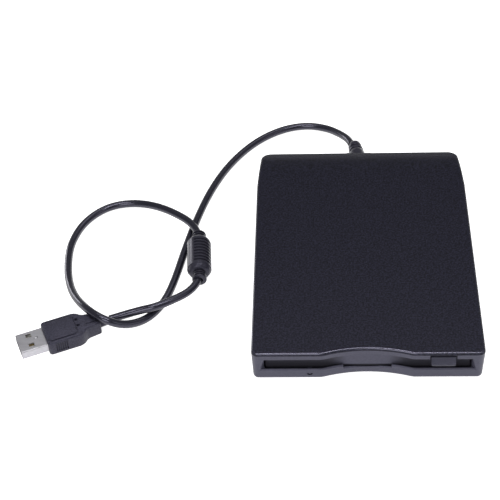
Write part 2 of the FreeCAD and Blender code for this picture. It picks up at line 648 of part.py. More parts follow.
def eject_slider():
    arm_low = PIN_Z - DROP - 2.4
    top = box(-ARM_OUT, ARM_OUT, SLIDER_Y0, SLIDER_Y1, SLIDER_Z, SLIDER_Z + THIN_SHEET)
    window_y = SLIDER_Y0 + SLIDER_BAR
    window = plate([(-SLIDER_WINDOW_X0, window_y), (SLIDER_WINDOW_X0, window_y),
                    (SLIDER_WINDOW_X1, SLIDER_Y1 + 1), (-SLIDER_WINDOW_X1, SLIDER_Y1 + 1)],
                   SLIDER_Z - 1, SLIDER_Z + 2)
    top = top.cut(window)
    arm = side_profile([(SLIDER_Y0, arm_low), (SLIDER_ARM_Y1, arm_low), (SLIDER_ARM_Y1, arm_low + 6.0),
                        (SLIDER_Y1, SLIDER_Z + THIN_SHEET), (SLIDER_Y0, SLIDER_Z + THIN_SHEET)],
                       ARM_IN, ARM_OUT)
    for y in PIN_YS:
        arm = arm.cut(ramp_slot(y, PIN_GAP))
    slider = top.fuse([arm, mirrored(arm), tongue()])
    guides = [slot(x, GUIDE_Y, x, GUIDE_Y + EJECT_TRAVEL, GUIDE_D + 0.3, SLIDER_Z - 1, SLIDER_Z + 2)
              for x in (-GUIDE_X, GUIDE_X)]
    return slider.cut(guides).removeSplitter()


def slider_guides():
    """Two headed studs under the shield that the slider runs on."""
    studs = []
    for x in (-GUIDE_X, GUIDE_X):
        stem = post(x, GUIDE_Y, SLIDER_Z - 0.15, SHIELD_Z, GUIDE_D)
        studs.append(stem.fuse(post(x, GUIDE_Y, SLIDER_Z - 0.45, SLIDER_Z - 0.15, GUIDE_D + 1.6)))
    return group(studs)


# ---------------------------------------------------------------- disk holder
LEVER_PIVOT = (7.0 - DISK_HALF, DISK_REAR_Y - 5.5)
LEVER_ARM = 27.0
LEVER_REST = -35.0         # degrees from +X, arm pointing at the middle of the slot
LEVER_PIN_D = 1.8
LEVER_PIVOT_D = 2.0
HEAD_WINDOW = 8.3          # half width of the openings that the heads move in
TONGUE_X = DISK_HALF - 19.0  # spring tongues that press on the disk
STOP_X = 25.0              # tabs that the disk's shutter edge runs up to
STOP_W = 10.0


def disk_holder():
    """Folded sheet tray that carries the disk on two inward lips."""
    lip = 2.5
    y0 = HOLDER_Y0 - 1
    y1 = HOLDER_Y1 + 1
    outer = box(-HOLDER_OUT, HOLDER_OUT, HOLDER_Y0, HOLDER_Y1, HOLDER_LIP_Z, HOLDER_TOP_Z + THIN_SHEET)
    inner = box(-HOLDER_IN, HOLDER_IN, y0, y1, HOLDER_LIP_Z + THIN_SHEET, HOLDER_TOP_Z)
    gap = box(lip - HOLDER_IN, HOLDER_IN - lip, y0, y1, HOLDER_LIP_Z - 1, HOLDER_TOP_Z - 1)
    tray = outer.cut([inner, gap])
    flare_y = HOLDER_Y0 - 1
    mouth = plate([(-20, flare_y), (20, flare_y), (14, HOLDER_Y0 + 9), (-14, HOLDER_Y0 + 9)],
                  HOLDER_TOP_Z - 1, HOLDER_TOP_Z + 2)
    window_y = HEAD_Y - TRACK_TRAVEL - 9.7
    window = box(-HEAD_WINDOW, HEAD_WINDOW, window_y, HOLDER_Y1 + 1, HOLDER_TOP_Z - 1, HOLDER_TOP_Z + 2)
    tools = [mouth, window, lever_track(0.5)]
    for x in (-TONGUE_X, TONGUE_X):
        tools += spring_tongue_slits(x)
    tray = tray.cut(tools)
    stop = box(STOP_X - STOP_W / 2, STOP_X + STOP_W / 2, HOLDER_Y1 - THIN_SHEET, HOLDER_Y1,
               HOLDER_TOP_Z - 2.0, HOLDER_TOP_Z + 0.1)
    return tray.fuse([stop, mirrored(stop)]).removeSplitter()


def spring_tongue_slits(x):
    """U-shaped slit that frees a tongue of the top plate to press on the disk."""
    y0 = HUB_Y - 14.0
    y1 = HUB_Y + 6.0
    z0 = HOLDER_TOP_Z - 1
    z1 = HOLDER_TOP_Z + 2
    return [box(x - 4, x - 3.2, y0, y1, z0, z1), box(x + 3.2, x + 4, y0, y1, z0, z1),
            box(x - 4, x + 4, y0 - 0.8, y0, z0, z1)]


def lever_pin_place(swing):
    angle = math.radians(LEVER_REST + swing)
    return LEVER_PIVOT[0] + LEVER_ARM * math.cos(angle), LEVER_PIVOT[1] + LEVER_ARM * math.sin(angle)


def lever_track(gap):
    """Curved slot of the holder in which the lever's pin swings."""
    x, y = LEVER_PIVOT
    half = LEVER_PIN_D / 2 + gap
    z0 = HOLDER_TOP_Z - 1
    sweep = LEVER_SWING + 1
    outer = Part.makeCylinder(LEVER_ARM + half, 3, Vector(x, y, z0), Vector(0, 0, 1), sweep)
    inner = Part.makeCylinder(LEVER_ARM - half, 3, Vector(x, y, z0), Vector(0, 0, 1), sweep)
    band = outer.cut(inner)
    band.rotate(Vector(x, y, 0), Vector(0, 0, 1), LEVER_REST - 0.5)
    places = (lever_pin_place(0), lever_pin_place(LEVER_SWING))
    ends = [post(px, py, z0, z0 + 3, 2 * half) for px, py in places]
    return band.fuse(ends)


def holder_pins():
    pins = []
    for y in PIN_YS:
        start = Vector(HOLDER_OUT, y, PIN_Z)
        pin = rod(start, start + Vector(ARM_OUT + 0.4 - HOLDER_OUT, 0, 0), PIN_D)
        pins += [pin, mirrored(pin)]
    return group(pins)


def lever_pivot():
    """Shouldered rivet that holds the shutter lever on the holder."""
    x, y = LEVER_PIVOT
    base = HOLDER_TOP_Z + THIN_SHEET
    shaft = post(x, y, base, LEVER_Z + THIN_SHEET + 0.1, LEVER_PIVOT_D)
    shoulder = post(x, y, base, LEVER_Z - 0.05, LEVER_PIVOT_D + 1.4)
    head = post(x, y, LEVER_Z + THIN_SHEET + 0.1, LEVER_Z + THIN_SHEET + 0.4, LEVER_PIVOT_D + 1.4)
    return shaft.fuse([shoulder, head])


def shutter_lever():
    """Flat lever whose hanging pin meets the disk's shutter and slides it open."""
    x, y = LEVER_PIVOT
    px, py = lever_pin_place(0)
    z1 = LEVER_Z + THIN_SHEET
    bar = slot(x, y, px, py, 3.4, LEVER_Z, z1)
    eye = post(x, y, LEVER_Z, z1, 6.0)
    pin = post(px, py, DISK_Z + 0.8, LEVER_Z + 0.1, LEVER_PIN_D)
    hole = post(x, y, LEVER_Z - 1, z1 + 1, LEVER_PIVOT_D + 2 * RUNNING_FIT)
    return bar.fuse([eye, pin]).cut(hole).removeSplitter()


# ---------------------------------------------------------------- chassis
CLAMP_L = 1.6
ROD_Y0 = CARRIAGE_Y0 - TRACK_TRAVEL - 3.0
ROD_Y1 = CHASSIS_Y1 - SHEET
STEPPER_Y0 = CHASSIS_Y1 - STEPPER_L + 9.0
WALL_REAR_Y = CHASSIS_Y1 - 6.0
TRACK0_X = -20.0           # left side of the track 0 sensor
LIGHTENING_X = DISK_HALF - 15.0  # slots that lighten the chassis beside the spindle
DATUM_X = DISK_HALF - 7.0
DATUM_YS = (HUB_Y - 23.0, DISK_REAR_Y - 13.5)
DATUM_PLACES = [(side * DATUM_X, y) for y in DATUM_YS for side in (-1, 1)]
SWITCH_XS = (4.4 - DISK_HALF, 10.0 - DISK_HALF, DISK_HALF - 9.0)
SWITCH_Y = FRONT_Y + FRONT_ROOM + 17.0
MOTOR_BOARD_Y0 = CHASSIS_Y0 + 1.0
REAR_WALL_X0 = -14.0       # the chassis' rear wall carries the stepper and the rod's clamp


def chassis():
    """Pressed steel frame: base plate, two side walls and a rear wall."""
    plate_ = box(-CHASSIS_OUT, CHASSIS_OUT, CHASSIS_Y0, CHASSIS_Y1, CHASSIS_Z, CHASSIS_TOP)
    wall = box(CHASSIS_IN, CHASSIS_OUT, CHASSIS_Y0 + 2, WALL_REAR_Y, CHASSIS_Z, CHASSIS_WALL_TOP)
    for y in PIN_YS:
        half = PIN_D / 2 + PIN_GAP
        low = PIN_Z - DROP
        wall = wall.cut(box(CHASSIS_IN - 1, CHASSIS_OUT + 1, y - half, y + half, low, CHASSIS_WALL_TOP + 1))
        wall = wall.cut(rod(Vector(CHASSIS_IN - 1, y, low), Vector(CHASSIS_OUT + 1, y, low), 2 * half))
    rear = box(REAR_WALL_X0, CHASSIS_OUT, CHASSIS_Y1 - SHEET, CHASSIS_Y1, CHASSIS_Z, CHASSIS_WALL_TOP)
    frame = plate_.fuse([wall, mirrored(wall), rear])
    tools = [post(0, HUB_Y, 0, 9, ROTOR_D + 3.0)]
    z0 = CHASSIS_Z - 1
    z1 = CHASSIS_TOP + 1
    tools.append(box(-HEAD_WINDOW - 1, HEAD_WINDOW + 1, HUB_Y + ROTOR_D / 2 + 3.5,
                     CARRIAGE_Y0 + CARRIAGE_L + 2, z0, z1))
    half = STEPPER_D / 2 + 0.3
    tools.append(box(SCREW_X - half, SCREW_X + half, STEPPER_Y0 - 0.3, CHASSIS_Y1 - SHEET, z0, z1))
    tools.append(rod(Vector(SCREW_X, CHASSIS_Y1 - 3, SCREW_Z),
                     Vector(SCREW_X, CHASSIS_Y1 + 1, SCREW_Z), 2 * half))
    for x in SWITCH_XS:
        tools.append(box(x - 1.8, x + 1.8, SWITCH_Y - 2.3, SWITCH_Y + 2.3, z0, z1))
    tools += [post(x, y, z0, z1, SMALL_SCREW_D + 0.3) for x, y in CHASSIS_MOUNTS]
    tools += [post(x, y, z0, z1, 2.0) for x, y in DATUM_PLACES]
    for x in (-LIGHTENING_X, LIGHTENING_X):
        tools.append(slot(x, HUB_Y - 8, x, HUB_Y + 8, 6.0, z0, z1))
    return frame.cut(tools).removeSplitter()


def datum_posts():
    """Four studs that the loaded disk comes to rest on, two of them with a locating tip."""
    studs = []
    for x, y in DATUM_PLACES:
        stud = post(x, y, CHASSIS_Z, CHASSIS_TOP, 2.0).fuse(post(x, y, CHASSIS_TOP, LOADED_Z - 0.1, 4.0))
        if y < HUB_Y:
            stud = stud.fuse(Part.makeCone(1.4, 0.8, 1.4, Vector(x, y, LOADED_Z - 0.1)))
        studs.append(stud)
    return group(studs)


def chassis_screws():
    screws = []
    for x, y in CHASSIS_MOUNTS:
        head = post(x, y, CHASSIS_TOP, CHASSIS_TOP + 0.8, 3.4)
        screws.append(head.fuse(post(x, y, FLOOR_Z, CHASSIS_TOP, SMALL_SCREW_D - 0.4)))
    return group(screws)


def mechanism_shield():
    """Thin steel cover over the mechanism, clipped over the chassis walls; open behind the heads."""
    z1 = SHIELD_Z + SHIELD_T
    lid = box(-CHASSIS_OUT, CHASSIS_OUT, SLIDER_Y0 - 5.5, CHASSIS_Y1 - 2, SHIELD_Z, z1)
    ear_y = [(SLIDER_Y1 + 6.0, SLIDER_Y1 + 12.0), (WALL_REAR_Y - 8.0, WALL_REAR_Y - 2.0)]
    parts = []
    for y0, y1 in ear_y:
        ear = box(CHASSIS_IN, CHASSIS_OUT, y0, y1, CHASSIS_WALL_TOP, SHIELD_Z)
        parts += [ear, mirrored(ear)]
    lid = lid.fuse(parts)
    window = box(-HEAD_WINDOW, HEAD_WINDOW, HEAD_Y - 12.5, CHASSIS_Y1, SHIELD_Z - 1, z1 + 1)
    return lid.cut(window).removeSplitter()


# ---------------------------------------------------------------- spindle
def motor_board():
    rear = HUB_Y + ROTOR_D / 2 + 4.0
    board = box(1.5 - DISK_HALF, DISK_HALF - 1.5, MOTOR_BOARD_Y0, rear, BOARD_Z, CHASSIS_Z)
    board = board.fuse(box(LAMP_X - 3, LAMP_X + 3, CHASSIS_Y0 - 2.6, MOTOR_BOARD_Y0 + 1,
                           BOARD_Z, CHASSIS_Z))
    tools = [post(x, y, BOARD_Z - 1, CHASSIS_Z + 1, MOUNT_BOSS_D + 0.6) for x, y in CHASSIS_MOUNTS]
    tools += [post(x, y, BOARD_Z - 1, CHASSIS_Z + 1, 2.2) for x, y in DATUM_PLACES]
    tools.append(post(0, HUB_Y, BOARD_Z - 1, CHASSIS_Z + 1, SPINDLE_D + 2 * BUSH_WALL))
    return board.cut(tools)


def stator_coils():
    """Flat wound coils in a circle under the rotor's magnet."""
    middle = ROTOR_D / 2 - 4.2
    coils = []
    for index in range(COIL_COUNT):
        turn = 360.0 / COIL_COUNT * index
        coil = box(middle - 2.6, middle + 2.6, -2.9, 2.9, COIL_Z, COIL_Z + COIL_T)
        coil = coil.cut(box(middle - 1.2, middle + 1.2, -1.1, 1.1, COIL_Z - 1, COIL_Z + 1))
        coil.rotate(Vector(0, 0, 0), Vector(0, 0, 1), turn)
        coil.translate(Vector(0, HUB_Y, 0))
        coils.append(coil)
    return group(coils)


def spindle_bearing():
    outer = SPINDLE_D + 2 * BUSH_WALL
    bush = ring(0, HUB_Y, BOARD_Z, ROTOR_Z - 0.3, outer, SPINDLE_D + 2 * RUNNING_FIT)
    flange = ring(0, HUB_Y, CHASSIS_Z, CHASSIS_Z + 0.4, outer + 3.0, SPINDLE_D + 2 * RUNNING_FIT)
    return bush.fuse(flange)


def rotor():
    """Thin rotor disc with the raised chuck that the disk's hub sits on."""
    disc = post(0, HUB_Y, ROTOR_Z, ROTOR_TOP, ROTOR_D)
    chuck = post(0, HUB_Y, ROTOR_TOP, LOADED_Z + 0.1, 22.0)
    hole = post(0, HUB_Y, ROTOR_Z - 1, LOADED_Z + 1, SPINDLE_D)
    pin_hole = post(0, HUB_Y - 9.0, ROTOR_Z - 1, LOADED_Z + 1, 2.0)
    return disc.fuse(chuck).cut([hole, pin_hole])


def rotor_magnet():
    return ring(0, HUB_Y, MAGNET_Z, ROTOR_Z, ROTOR_D - 1.0, ROTOR_D - 16.0)


def spindle_shaft():
    shaft = post(0, HUB_Y, BOARD_Z + 0.1, MEDIA_Z, SPINDLE_D)
    top = [edge for edge in shaft.Edges if edge.BoundBox.ZMin > MEDIA_Z - 0.01]
    return shaft.makeChamfer(0.5, top)


def drive_pin():
    """Roller that drops into the window of the disk's hub and turns it."""
    return post(0, HUB_Y - 9.0, ROTOR_Z, LOADED_Z + 1.2, 2.0)


def position_switches():
    """Three push switches that feel the disk, its write tab and its density hole."""
    switches = []
    for x in SWITCH_XS:
        body = box(x - 1.5, x + 1.5, SWITCH_Y - 2, SWITCH_Y + 2, CHASSIS_Z, LOADED_Z - 0.7)
        plunger = post(x, SWITCH_Y, LOADED_Z - 0.7, LOADED_Z + 0.5, 1.2)
        switches.append(body.fuse(plunger))
    return group(switches)


def activity_led():
    """Small lamp on the front tab of the motor board, at the end of the light guide."""
    y0 = CHASSIS_Y0 - 2.7
    return box(LAMP_X - 1.0, LAMP_X + 1.0, y0, y0 + 1.5, CHASSIS_Z, CHASSIS_Z + 0.9)


# ---------------------------------------------------------------- heads
ARM_HALF = 5.5             # half the width of the upper arm at its hinge


def head_carriage():
    """Moulded carriage: rod bearing, screw follower and the lower arm."""
    y0 = CARRIAGE_Y0
    y1 = CARRIAGE_Y0 + CARRIAGE_L
    deck_z = CHASSIS_TOP + 0.3
    bearing = box(ROD_X - 3.2, ROD_X + 3.2, y0, y1, ROD_Z - 3.0, ROD_Z + 2.6)
    body = box(-6.5, ROD_X, y0, y1, deck_z, deck_z + 2.4)
    follower = box(ROD_X, SCREW_X - SCREW_D / 2 + 0.5, y0 + 2.5, y0 + 5.5, SCREW_Z - 1.2, SCREW_Z + 1.2)
    fork = box(SCREW_X - 3.0, SCREW_X - SCREW_D / 2 - 0.1, y0 + 1.0, y0 + 7.0, SCREW_Z - 2.2, SCREW_Z + 2.2)
    arm_z0 = CHASSIS_Z + 0.1
    arm = plate([(-6.0, y0 + 1), (-3.6, HEAD_Y - 2.6), (3.6, HEAD_Y - 2.6), (6.0, y0 + 1)],
                arm_z0, LOADED_Z - 0.5)
    tower = box(-6.5, 6.5, ARM_PIVOT_Y - 1.4, y1, deck_z, ARM_PIVOT_Z - ARM_EYE_D / 2 - 0.25)
    lug = side_profile([(ARM_PIVOT_Y - 1.4, deck_z), (y1, deck_z), (y1, ARM_PIVOT_Z + 0.4),
                        (ARM_PIVOT_Y + 0.6, ARM_PIVOT_Z + 1.1), (ARM_PIVOT_Y - 0.6, ARM_PIVOT_Z + 1.1),
                        (ARM_PIVOT_Y - 1.4, ARM_PIVOT_Z)], ARM_HALF + 0.2, ARM_HALF + 1.0)
    pin_bore = arm_pin()
    guide = box(-12.5, -6.0, y0 + 2, y1 - 2, CHASSIS_TOP + 0.3, CHASSIS_TOP + 1.1)
    carriage = body.fuse([bearing, follower, fork, arm, tower, guide, lug, mirrored(lug)])
    bore = rod(Vector(ROD_X, y0 - 1, ROD_Z), Vector(ROD_X, y1 + 1, ROD_Z), ROD_D + 2 * RUNNING_FIT)
    groove = rod(Vector(SCREW_X, y0 - 1, SCREW_Z), Vector(SCREW_X, y1 + 1, SCREW_Z), SCREW_D + 0.2)
    hollow = box(-4.5, 4.5, y0 + 1.2, ARM_PIVOT_Y - 2.4, deck_z + 0.8, deck_z + 4)
    return carriage.cut([bore, groove, hollow, pin_bore]).removeSplitter()


def arm_pin():
    """Hinge pin of the upper arm, held in the carriage's two lugs."""
    reach = Vector(ARM_HALF + 1.0, ARM_PIVOT_Y, ARM_PIVOT_Z)
    return rod(Vector(-reach.x, reach.y, reach.z), reach, ARM_PIN_D)


def head(z0, z1):
    return box(-1.6, 1.6, HEAD_Y - 1.6, HEAD_Y + 1.6, z0, z1)


def lower_head():
    return head(LOADED_Z - 0.5, MEDIA_Z - 0.1)


def raised(shape):
    """Turn a part of the upper arm, drawn in its lowered place, up to its rest place."""
    copy = shape.copy()
    copy.rotate(Vector(0, ARM_PIVOT_Y, ARM_PIVOT_Z), Vector(1, 0, 0), -ARM_LIFT)
    return copy


def upper_head_arm():
    top = ARM_Z + ARM_T
    front = HEAD_Y - 2.6
    bar = plate([(-ARM_HALF, ARM_PIVOT_Y), (-3.2, front), (3.2, front), (ARM_HALF, ARM_PIVOT_Y)],
                ARM_Z, top)
    ribs = [box(x - 0.4, x + 0.4, HEAD_Y + 3, ARM_PIVOT_Y - 3, top, top + 0.5) for x in (-3.0, 3.0)]
    eye = rod(Vector(-ARM_HALF, ARM_PIVOT_Y, ARM_PIVOT_Z),
              Vector(ARM_HALF, ARM_PIVOT_Y, ARM_PIVOT_Z), ARM_EYE_D)
    bore = rod(Vector(-9, ARM_PIVOT_Y, ARM_PIVOT_Z), Vector(9, ARM_PIVOT_Y, ARM_PIVOT_Z),
               ARM_PIN_D + 2 * RUNNING_FIT)
    return raised(bar.fuse(ribs + [eye]).cut(bore).removeSplitter())


def upper_head():
    return raised(head(MEDIA_Z + 0.1, ARM_Z))


def guide_rod():
    return rod(Vector(ROD_X, ROD_Y0, ROD_Z), Vector(ROD_X, ROD_Y1, ROD_Z), ROD_D)


def rod_clamps():
    """Two saddles that hold the ends of the guide rod above the chassis."""
    clamps = []
    for y0 in (ROD_Y0, ROD_Y1 - CLAMP_L):
        saddle = box(ROD_X + ROD_D / 2 - 2.4, ROD_X + 4.5, y0, y0 + CLAMP_L, CHASSIS_TOP, ROD_Z + 2.4)
        clamps.append(saddle.cut(guide_rod()))
    return group(clamps)


def lead_screw():
    front = Vector(SCREW_X, ROD_Y0 + 0.6, SCREW_Z)
    screw = rod(front + Vector(0, 1.2, 0), Vector(SCREW_X, STEPPER_Y0 - 0.2, SCREW_Z), SCREW_D)
    tip = rod(front, front + Vector(0, 1.2, 0), 1.4)
    neck = rod(Vector(SCREW_X, STEPPER_Y0 - 0.2, SCREW_Z), Vector(SCREW_X, STEPPER_Y0 + 2.0, SCREW_Z), 1.6)
    return screw.fuse([tip, neck])


def screw_bracket():
    """Bent tab with the bearing for the front end of the lead screw."""
    y0 = ROD_Y0 + 0.1
    tab = box(SCREW_X - 3, SCREW_X + 3, y0, y0 + 1.0, CHASSIS_TOP, SCREW_Z + 2.6)
    foot = box(SCREW_X - 3, SCREW_X + 3, y0, y0 + 3.6, CHASSIS_TOP, CHASSIS_TOP + 0.8)
    hole = rod(Vector(SCREW_X, y0 + 0.4, SCREW_Z), Vector(SCREW_X, y0 + 3, SCREW_Z), 1.4 + 2 * RUNNING_FIT)
    return tab.fuse(foot).cut(hole)


def stepper_motor():
    start = Vector(SCREW_X, STEPPER_Y0, SCREW_Z)
    end = Vector(SCREW_X, STEPPER_Y0 + STEPPER_L, SCREW_Z)
    can = rod(start, end, STEPPER_D)
    bore = rod(start - Vector(0, 1, 0), start + Vector(0, 2.3, 0), 1.6 + 2 * RUNNING_FIT)
    return can.cut(bore)


def track0_sensor():
    """Forked light gate beside the carriage's path."""
    x0 = TRACK0_X
    y0 = CARRIAGE_Y0 + 1.0
    z0 = CHASSIS_TOP
    body = box(x0, x0 + 5.0, y0, y0 + 5.0, z0, z0 + 4.6)
    return body.cut(box(x0 - 1, x0 + 4.0, y0 + 1.8, y0 + 3.2, z0 + 1.4, z0 + 6))


# ---------------------------------------------------------------- boards and cord exit
MAIN_X0 = -DISK_HALF - 1.0
MAIN_X1 = TRACK0_X - 1.5
MAIN_Y0 = HOLDER_Y1 + 1.5
MAIN_Y1 = CHASSIS_Y1 - 8.0
MAIN_BOARD_Z = CHASSIS_TOP + 0.6
PAD_W = 3.0                # pads that the main board stands on
PAD_INSET = 2.0
LARGE_CHIP = 8.0
SMALL_CHIP = 4.0
CHIP_T = 1.2
RIBBON_W = 12.0
RIBBON_T = 0.3
CONNECTOR_W = 9.0
CONNECTOR_D = 3.4
CONNECTOR_H = 4.0
CRYSTAL_W = 3.0
CRYSTAL_H = 2.4


def main_board():
    board = box(MAIN_X0, MAIN_X1, MAIN_Y0, MAIN_Y1, MAIN_BOARD_Z, MAIN_BOARD_Z + USB_BOARD_T)
    x = MAIN_X0 + PAD_INSET
    pads = [box(x, x + PAD_W, y, y + PAD_W, CHASSIS_TOP, MAIN_BOARD_Z)
            for y in (MAIN_Y0 + PAD_INSET, MAIN_Y1 - PAD_INSET - PAD_W)]
    return board.fuse(pads)


def chip(x, y, z, side, thick):
    return box(x - side / 2, x + side / 2, y - side / 2, y + side / 2, z, z + thick)


def main_board_chips():
    z = MAIN_BOARD_Z + USB_BOARD_T
    x = (MAIN_X0 + MAIN_X1) / 2
    y = (MAIN_Y0 + MAIN_Y1) / 2
    small_x = x + LARGE_CHIP
    return group([chip(x - SMALL_CHIP / 2, y, z, LARGE_CHIP, CHIP_T),
                  chip(small_x, y - SMALL_CHIP, z, SMALL_CHIP, CHIP_T),
                  chip(small_x, y + SMALL_CHIP, z, SMALL_CHIP, CHIP_T)])


def usb_board():
    board = box(USB_BOARD_X0, USB_BOARD_X1, CHASSIS_Y1 + 2.0, REAR_Y - WALL - 0.8,
                USB_BOARD_Z, USB_BOARD_Z + USB_BOARD_T)
    board = board.cut([post(x, y, 0, 9, SMALL_SCREW_D) for x, y in USB_BOARD_MOUNTS])
    return board.cut(case_posts(0, 12, POST_D + 1.0))


def usb_controller():
    return chip(USB_BOARD_X0 + 3 * LARGE_CHIP, USB_BOARD_Y, USB_BOARD_Z + USB_BOARD_T, LARGE_CHIP, CHIP_T)


def crystal():
    z = USB_BOARD_Z + USB_BOARD_T
    x = USB_BOARD_X0 + 4.5 * CRYSTAL_W
    return slot(x, USB_BOARD_Y, x + CRYSTAL_W, USB_BOARD_Y, CRYSTAL_W, z, z + CRYSTAL_H)


def board_screws():
    top = USB_BOARD_Z + USB_BOARD_T
    screws = []
    for x, y in USB_BOARD_MOUNTS:
        screws.append(post(x, y, top, top + 0.8, 3.4).fuse(post(x, y, FLOOR_Z, top, SMALL_SCREW_D - 0.4)))
    return group(screws)


def cord_connector():
    z = USB_BOARD_Z + USB_BOARD_T
    y = CHASSIS_Y1 + 3.6
    return box(-CONNECTOR_W / 2, CONNECTOR_W / 2, y, y + CONNECTOR_D, z, z + CONNECTOR_H)


def interface_ribbon():
    """Flat jumper from the USB board up over the chassis edge to the main board."""
    low = USB_BOARD_Z + USB_BOARD_T
    high = MAIN_BOARD_Z + USB_BOARD_T
    y_low = CHASSIS_Y1 + 4.0
    y_high = MAIN_Y1 - 1.0
    t = RIBBON_T
    crest = high + 1.2
    points = [(y_low, low), (y_low, crest), (y_high - 1, crest), (y_high - 1, high),
              (y_high - 1 - t, high), (y_high - 1 - t, crest + t), (y_low + t, crest + t), (y_low + t, low)]
    return side_profile(points, USB_BOARD_X0 + 2.0, USB_BOARD_X0 + 2.0 + RIBBON_W)


def relief_tip():
    """Middle of the strain relief's outer end, where the cord comes out."""
    turn = math.radians(RELIEF_LEAN)
    dip = math.radians(RELIEF_DIP)
    way = Vector(-math.sin(turn) * math.cos(dip), math.cos(turn) * math.cos(dip), -math.sin(dip))
    return Vector(0, REAR_Y + BOSS_OUT, EXIT_Z) + way * RELIEF_OUT


def strain_relief():
    """Moulded sleeve: flange and seat in the wall, and outside it a leaning taper with two grooves."""
    full = RELIEF_D / 2
    seat = RELIEF_SEAT_D / 2 - 0.05
    wall_in = REAR_Y - WALL - DRAFT - 0.1
    face_y = REAR_Y + BOSS_OUT + 0.1
    flange = rod(Vector(0, wall_in - 1.6, EXIT_Z), Vector(0, wall_in, EXIT_Z), RELIEF_FLANGE_D)
    neck = rod(Vector(0, wall_in - 1, EXIT_Z), Vector(0, face_y + 1, EXIT_Z), 2 * seat)
    tip = RELIEF_TIP_D / 2
    step = RELIEF_OUT / 7
    profile = [(-full, full), (3.0 * step, full)]
    for index in (3.0, 4.5):
        outer = full - (full - tip) * index / 7
        profile += [(index * step, outer - 0.8), ((index + 0.35) * step, outer - 0.8),
                    ((index + 0.35) * step, outer), ((index + 1.5) * step, outer - (full - tip) * 0.2)]
    profile += [(7 * step, tip), (7 * step, 0), (-full, 0)]
    points = [Vector(radius, 0, along) for along, radius in profile]
    sleeve = Part.Face(Part.makePolygon(points + points[:1])).revolve(Vector(0, 0, 0), Vector(0, 0, 1), 360)
    start = Vector(0, REAR_Y + BOSS_OUT, EXIT_Z)
    way = relief_tip() - start
    sleeve.Placement = FreeCAD.Placement(start, FreeCAD.Rotation(Vector(0, 0, 1), way))
    sleeve = sleeve.common(box(-BOSS_W, BOSS_W, face_y, REAR_Y + 3 * RELIEF_OUT, -BODY_H, 2 * BODY_H))
    return sleeve.fuse([flange, neck]).removeSplitter()


# Route of the cord's middle line, from the strain relief to the plug.
CORD_POINTS = [
    tuple(relief_tip()), (-4.59, 90.9, 6.9), (-8.89, 98.03, 5.0), (-15.96, 106.18, 2.6),
    (-27.23, 109.78, 1.9), (-40.81, 106.27, 1.9), (-55.12, 95.34, 1.9), (-67.94, 77.02, 1.9),
    (-76.72, 55.65, 1.9), (-82.25, 34.71, 1.9), (-86.64, 13.68, 1.9), (-90.16, -7.74, 1.9),
    (-94.22, -23.11, 1.9), (-101.53, -33.87, 1.9), (-110.94, -40.72, 5.4), (-120.71, -37.83, 10.0),
    (-129.11, -33.75, 9.0), (-136.69, -21.88, 4.6), (-141.64, -9.14, 2.0), (-143.82, 4.95, 1.9),
    (-143.89, 18.98, 1.9), (-138.98, 34.41, 1.9), (-127.82, 45.9, 1.9), (-112.58, 47.65, 2.6),
    (-96.65, 38.9, 5.6), (-80.34, 24.84, 6.1), (-77.63, -17.51, 6.1), (-95.81, -31.39, 7.6),
    (-106.31, -32.0, 5.4), (-118.9, -36.0, 4.0),
]
PLUG_JOIN = CORD_POINTS[-1]
FERRITE_START, FERRITE_END = CORD_POINTS[25:27]


def cord_path(points):
    """Straight runs joined by tangent arcs; also returns the arcs' radii and the length."""
    corners = [Vector(*p) for p in points]
    edges = []
    radii = []
    here = corners[0]
    for before, corner, after in zip(corners, corners[1:], corners[2:]):
        to_before = (before - corner)
        to_after = (after - corner)
        reach = 0.45 * min(to_before.Length, to_after.Length)
        half = to_before.getAngle(to_after) / 2
        radius = reach * math.tan(half)
        radii.append(radius)
        start, middle, end = corner_arc(before, corner, after, radius)
        edges.append(Part.LineSegment(here, start).toShape())
        edges.append(Part.Arc(start, middle, end).toShape())
        here = end
    edges.append(Part.LineSegment(here, corners[-1]).toShape())
    wire = Part.Wire(edges)
    return wire, radii, sum(edge.Length for edge in edges)


def usb_cord():
    wire, radii, length = cord_path(CORD_POINTS)
    first = Vector(*CORD_POINTS[0])
    direction = Vector(*CORD_POINTS[1]) - first
    section = Part.Wire(Part.makeCircle(CORD_D / 2, first, direction))
    tube = wire.makePipeShell([section], True, True)
    section_area = math.pi * CORD_D ** 2 / 4
    print("cord length", round(length, 1), "volume ratio", round(tube.Volume / (section_area * length), 4))
    print("cord radii", [round(r, 1) for r in radii])
    return tube


def cord_leads():
    """Four cores from the end of the cord to the board's connector."""
    leads = []
    y0 = CHASSIS_Y1 + 3.6 + CONNECTOR_D
    y1 = REAR_Y - WALL - DRAFT - 1.7
    z = USB_BOARD_Z + USB_BOARD_T + 1.6
    for index in range(4):
        x = (index - 1.5) * 1.1
        leads.append(rod(Vector(x * 1.6, y0, z), Vector(x, y1, EXIT_Z - 1.0), 0.8))
    return group(leads)


# ---------------------------------------------------------------- ferrite
def turned(profile, start, end):
    """Body of revolution about the line from start to end; profile holds (along, radius)."""
    points = [Vector(radius, 0, along) for along, radius in profile]
    face = Part.Face(Part.makePolygon(points + points[:1]))
    solid = face.revolve(Vector(0, 0, 0), Vector(0, 0, 1), 360)
    axis = end - start
    solid.Placement = FreeCAD.Placement(start, FreeCAD.Rotation(Vector(0, 0, 1), axis))
    return solid


def ferrite_axis():
    start = Vector(*FERRITE_START)
    end = Vector(*FERRITE_END)
    along = (end - start).normalize()
    middle = start + along * (FERRITE_OFFSET + FERRITE_L / 2)
    half = FERRITE_L / 2 + FERRITE_NECK_L
    return middle - along * half, middle + along * half


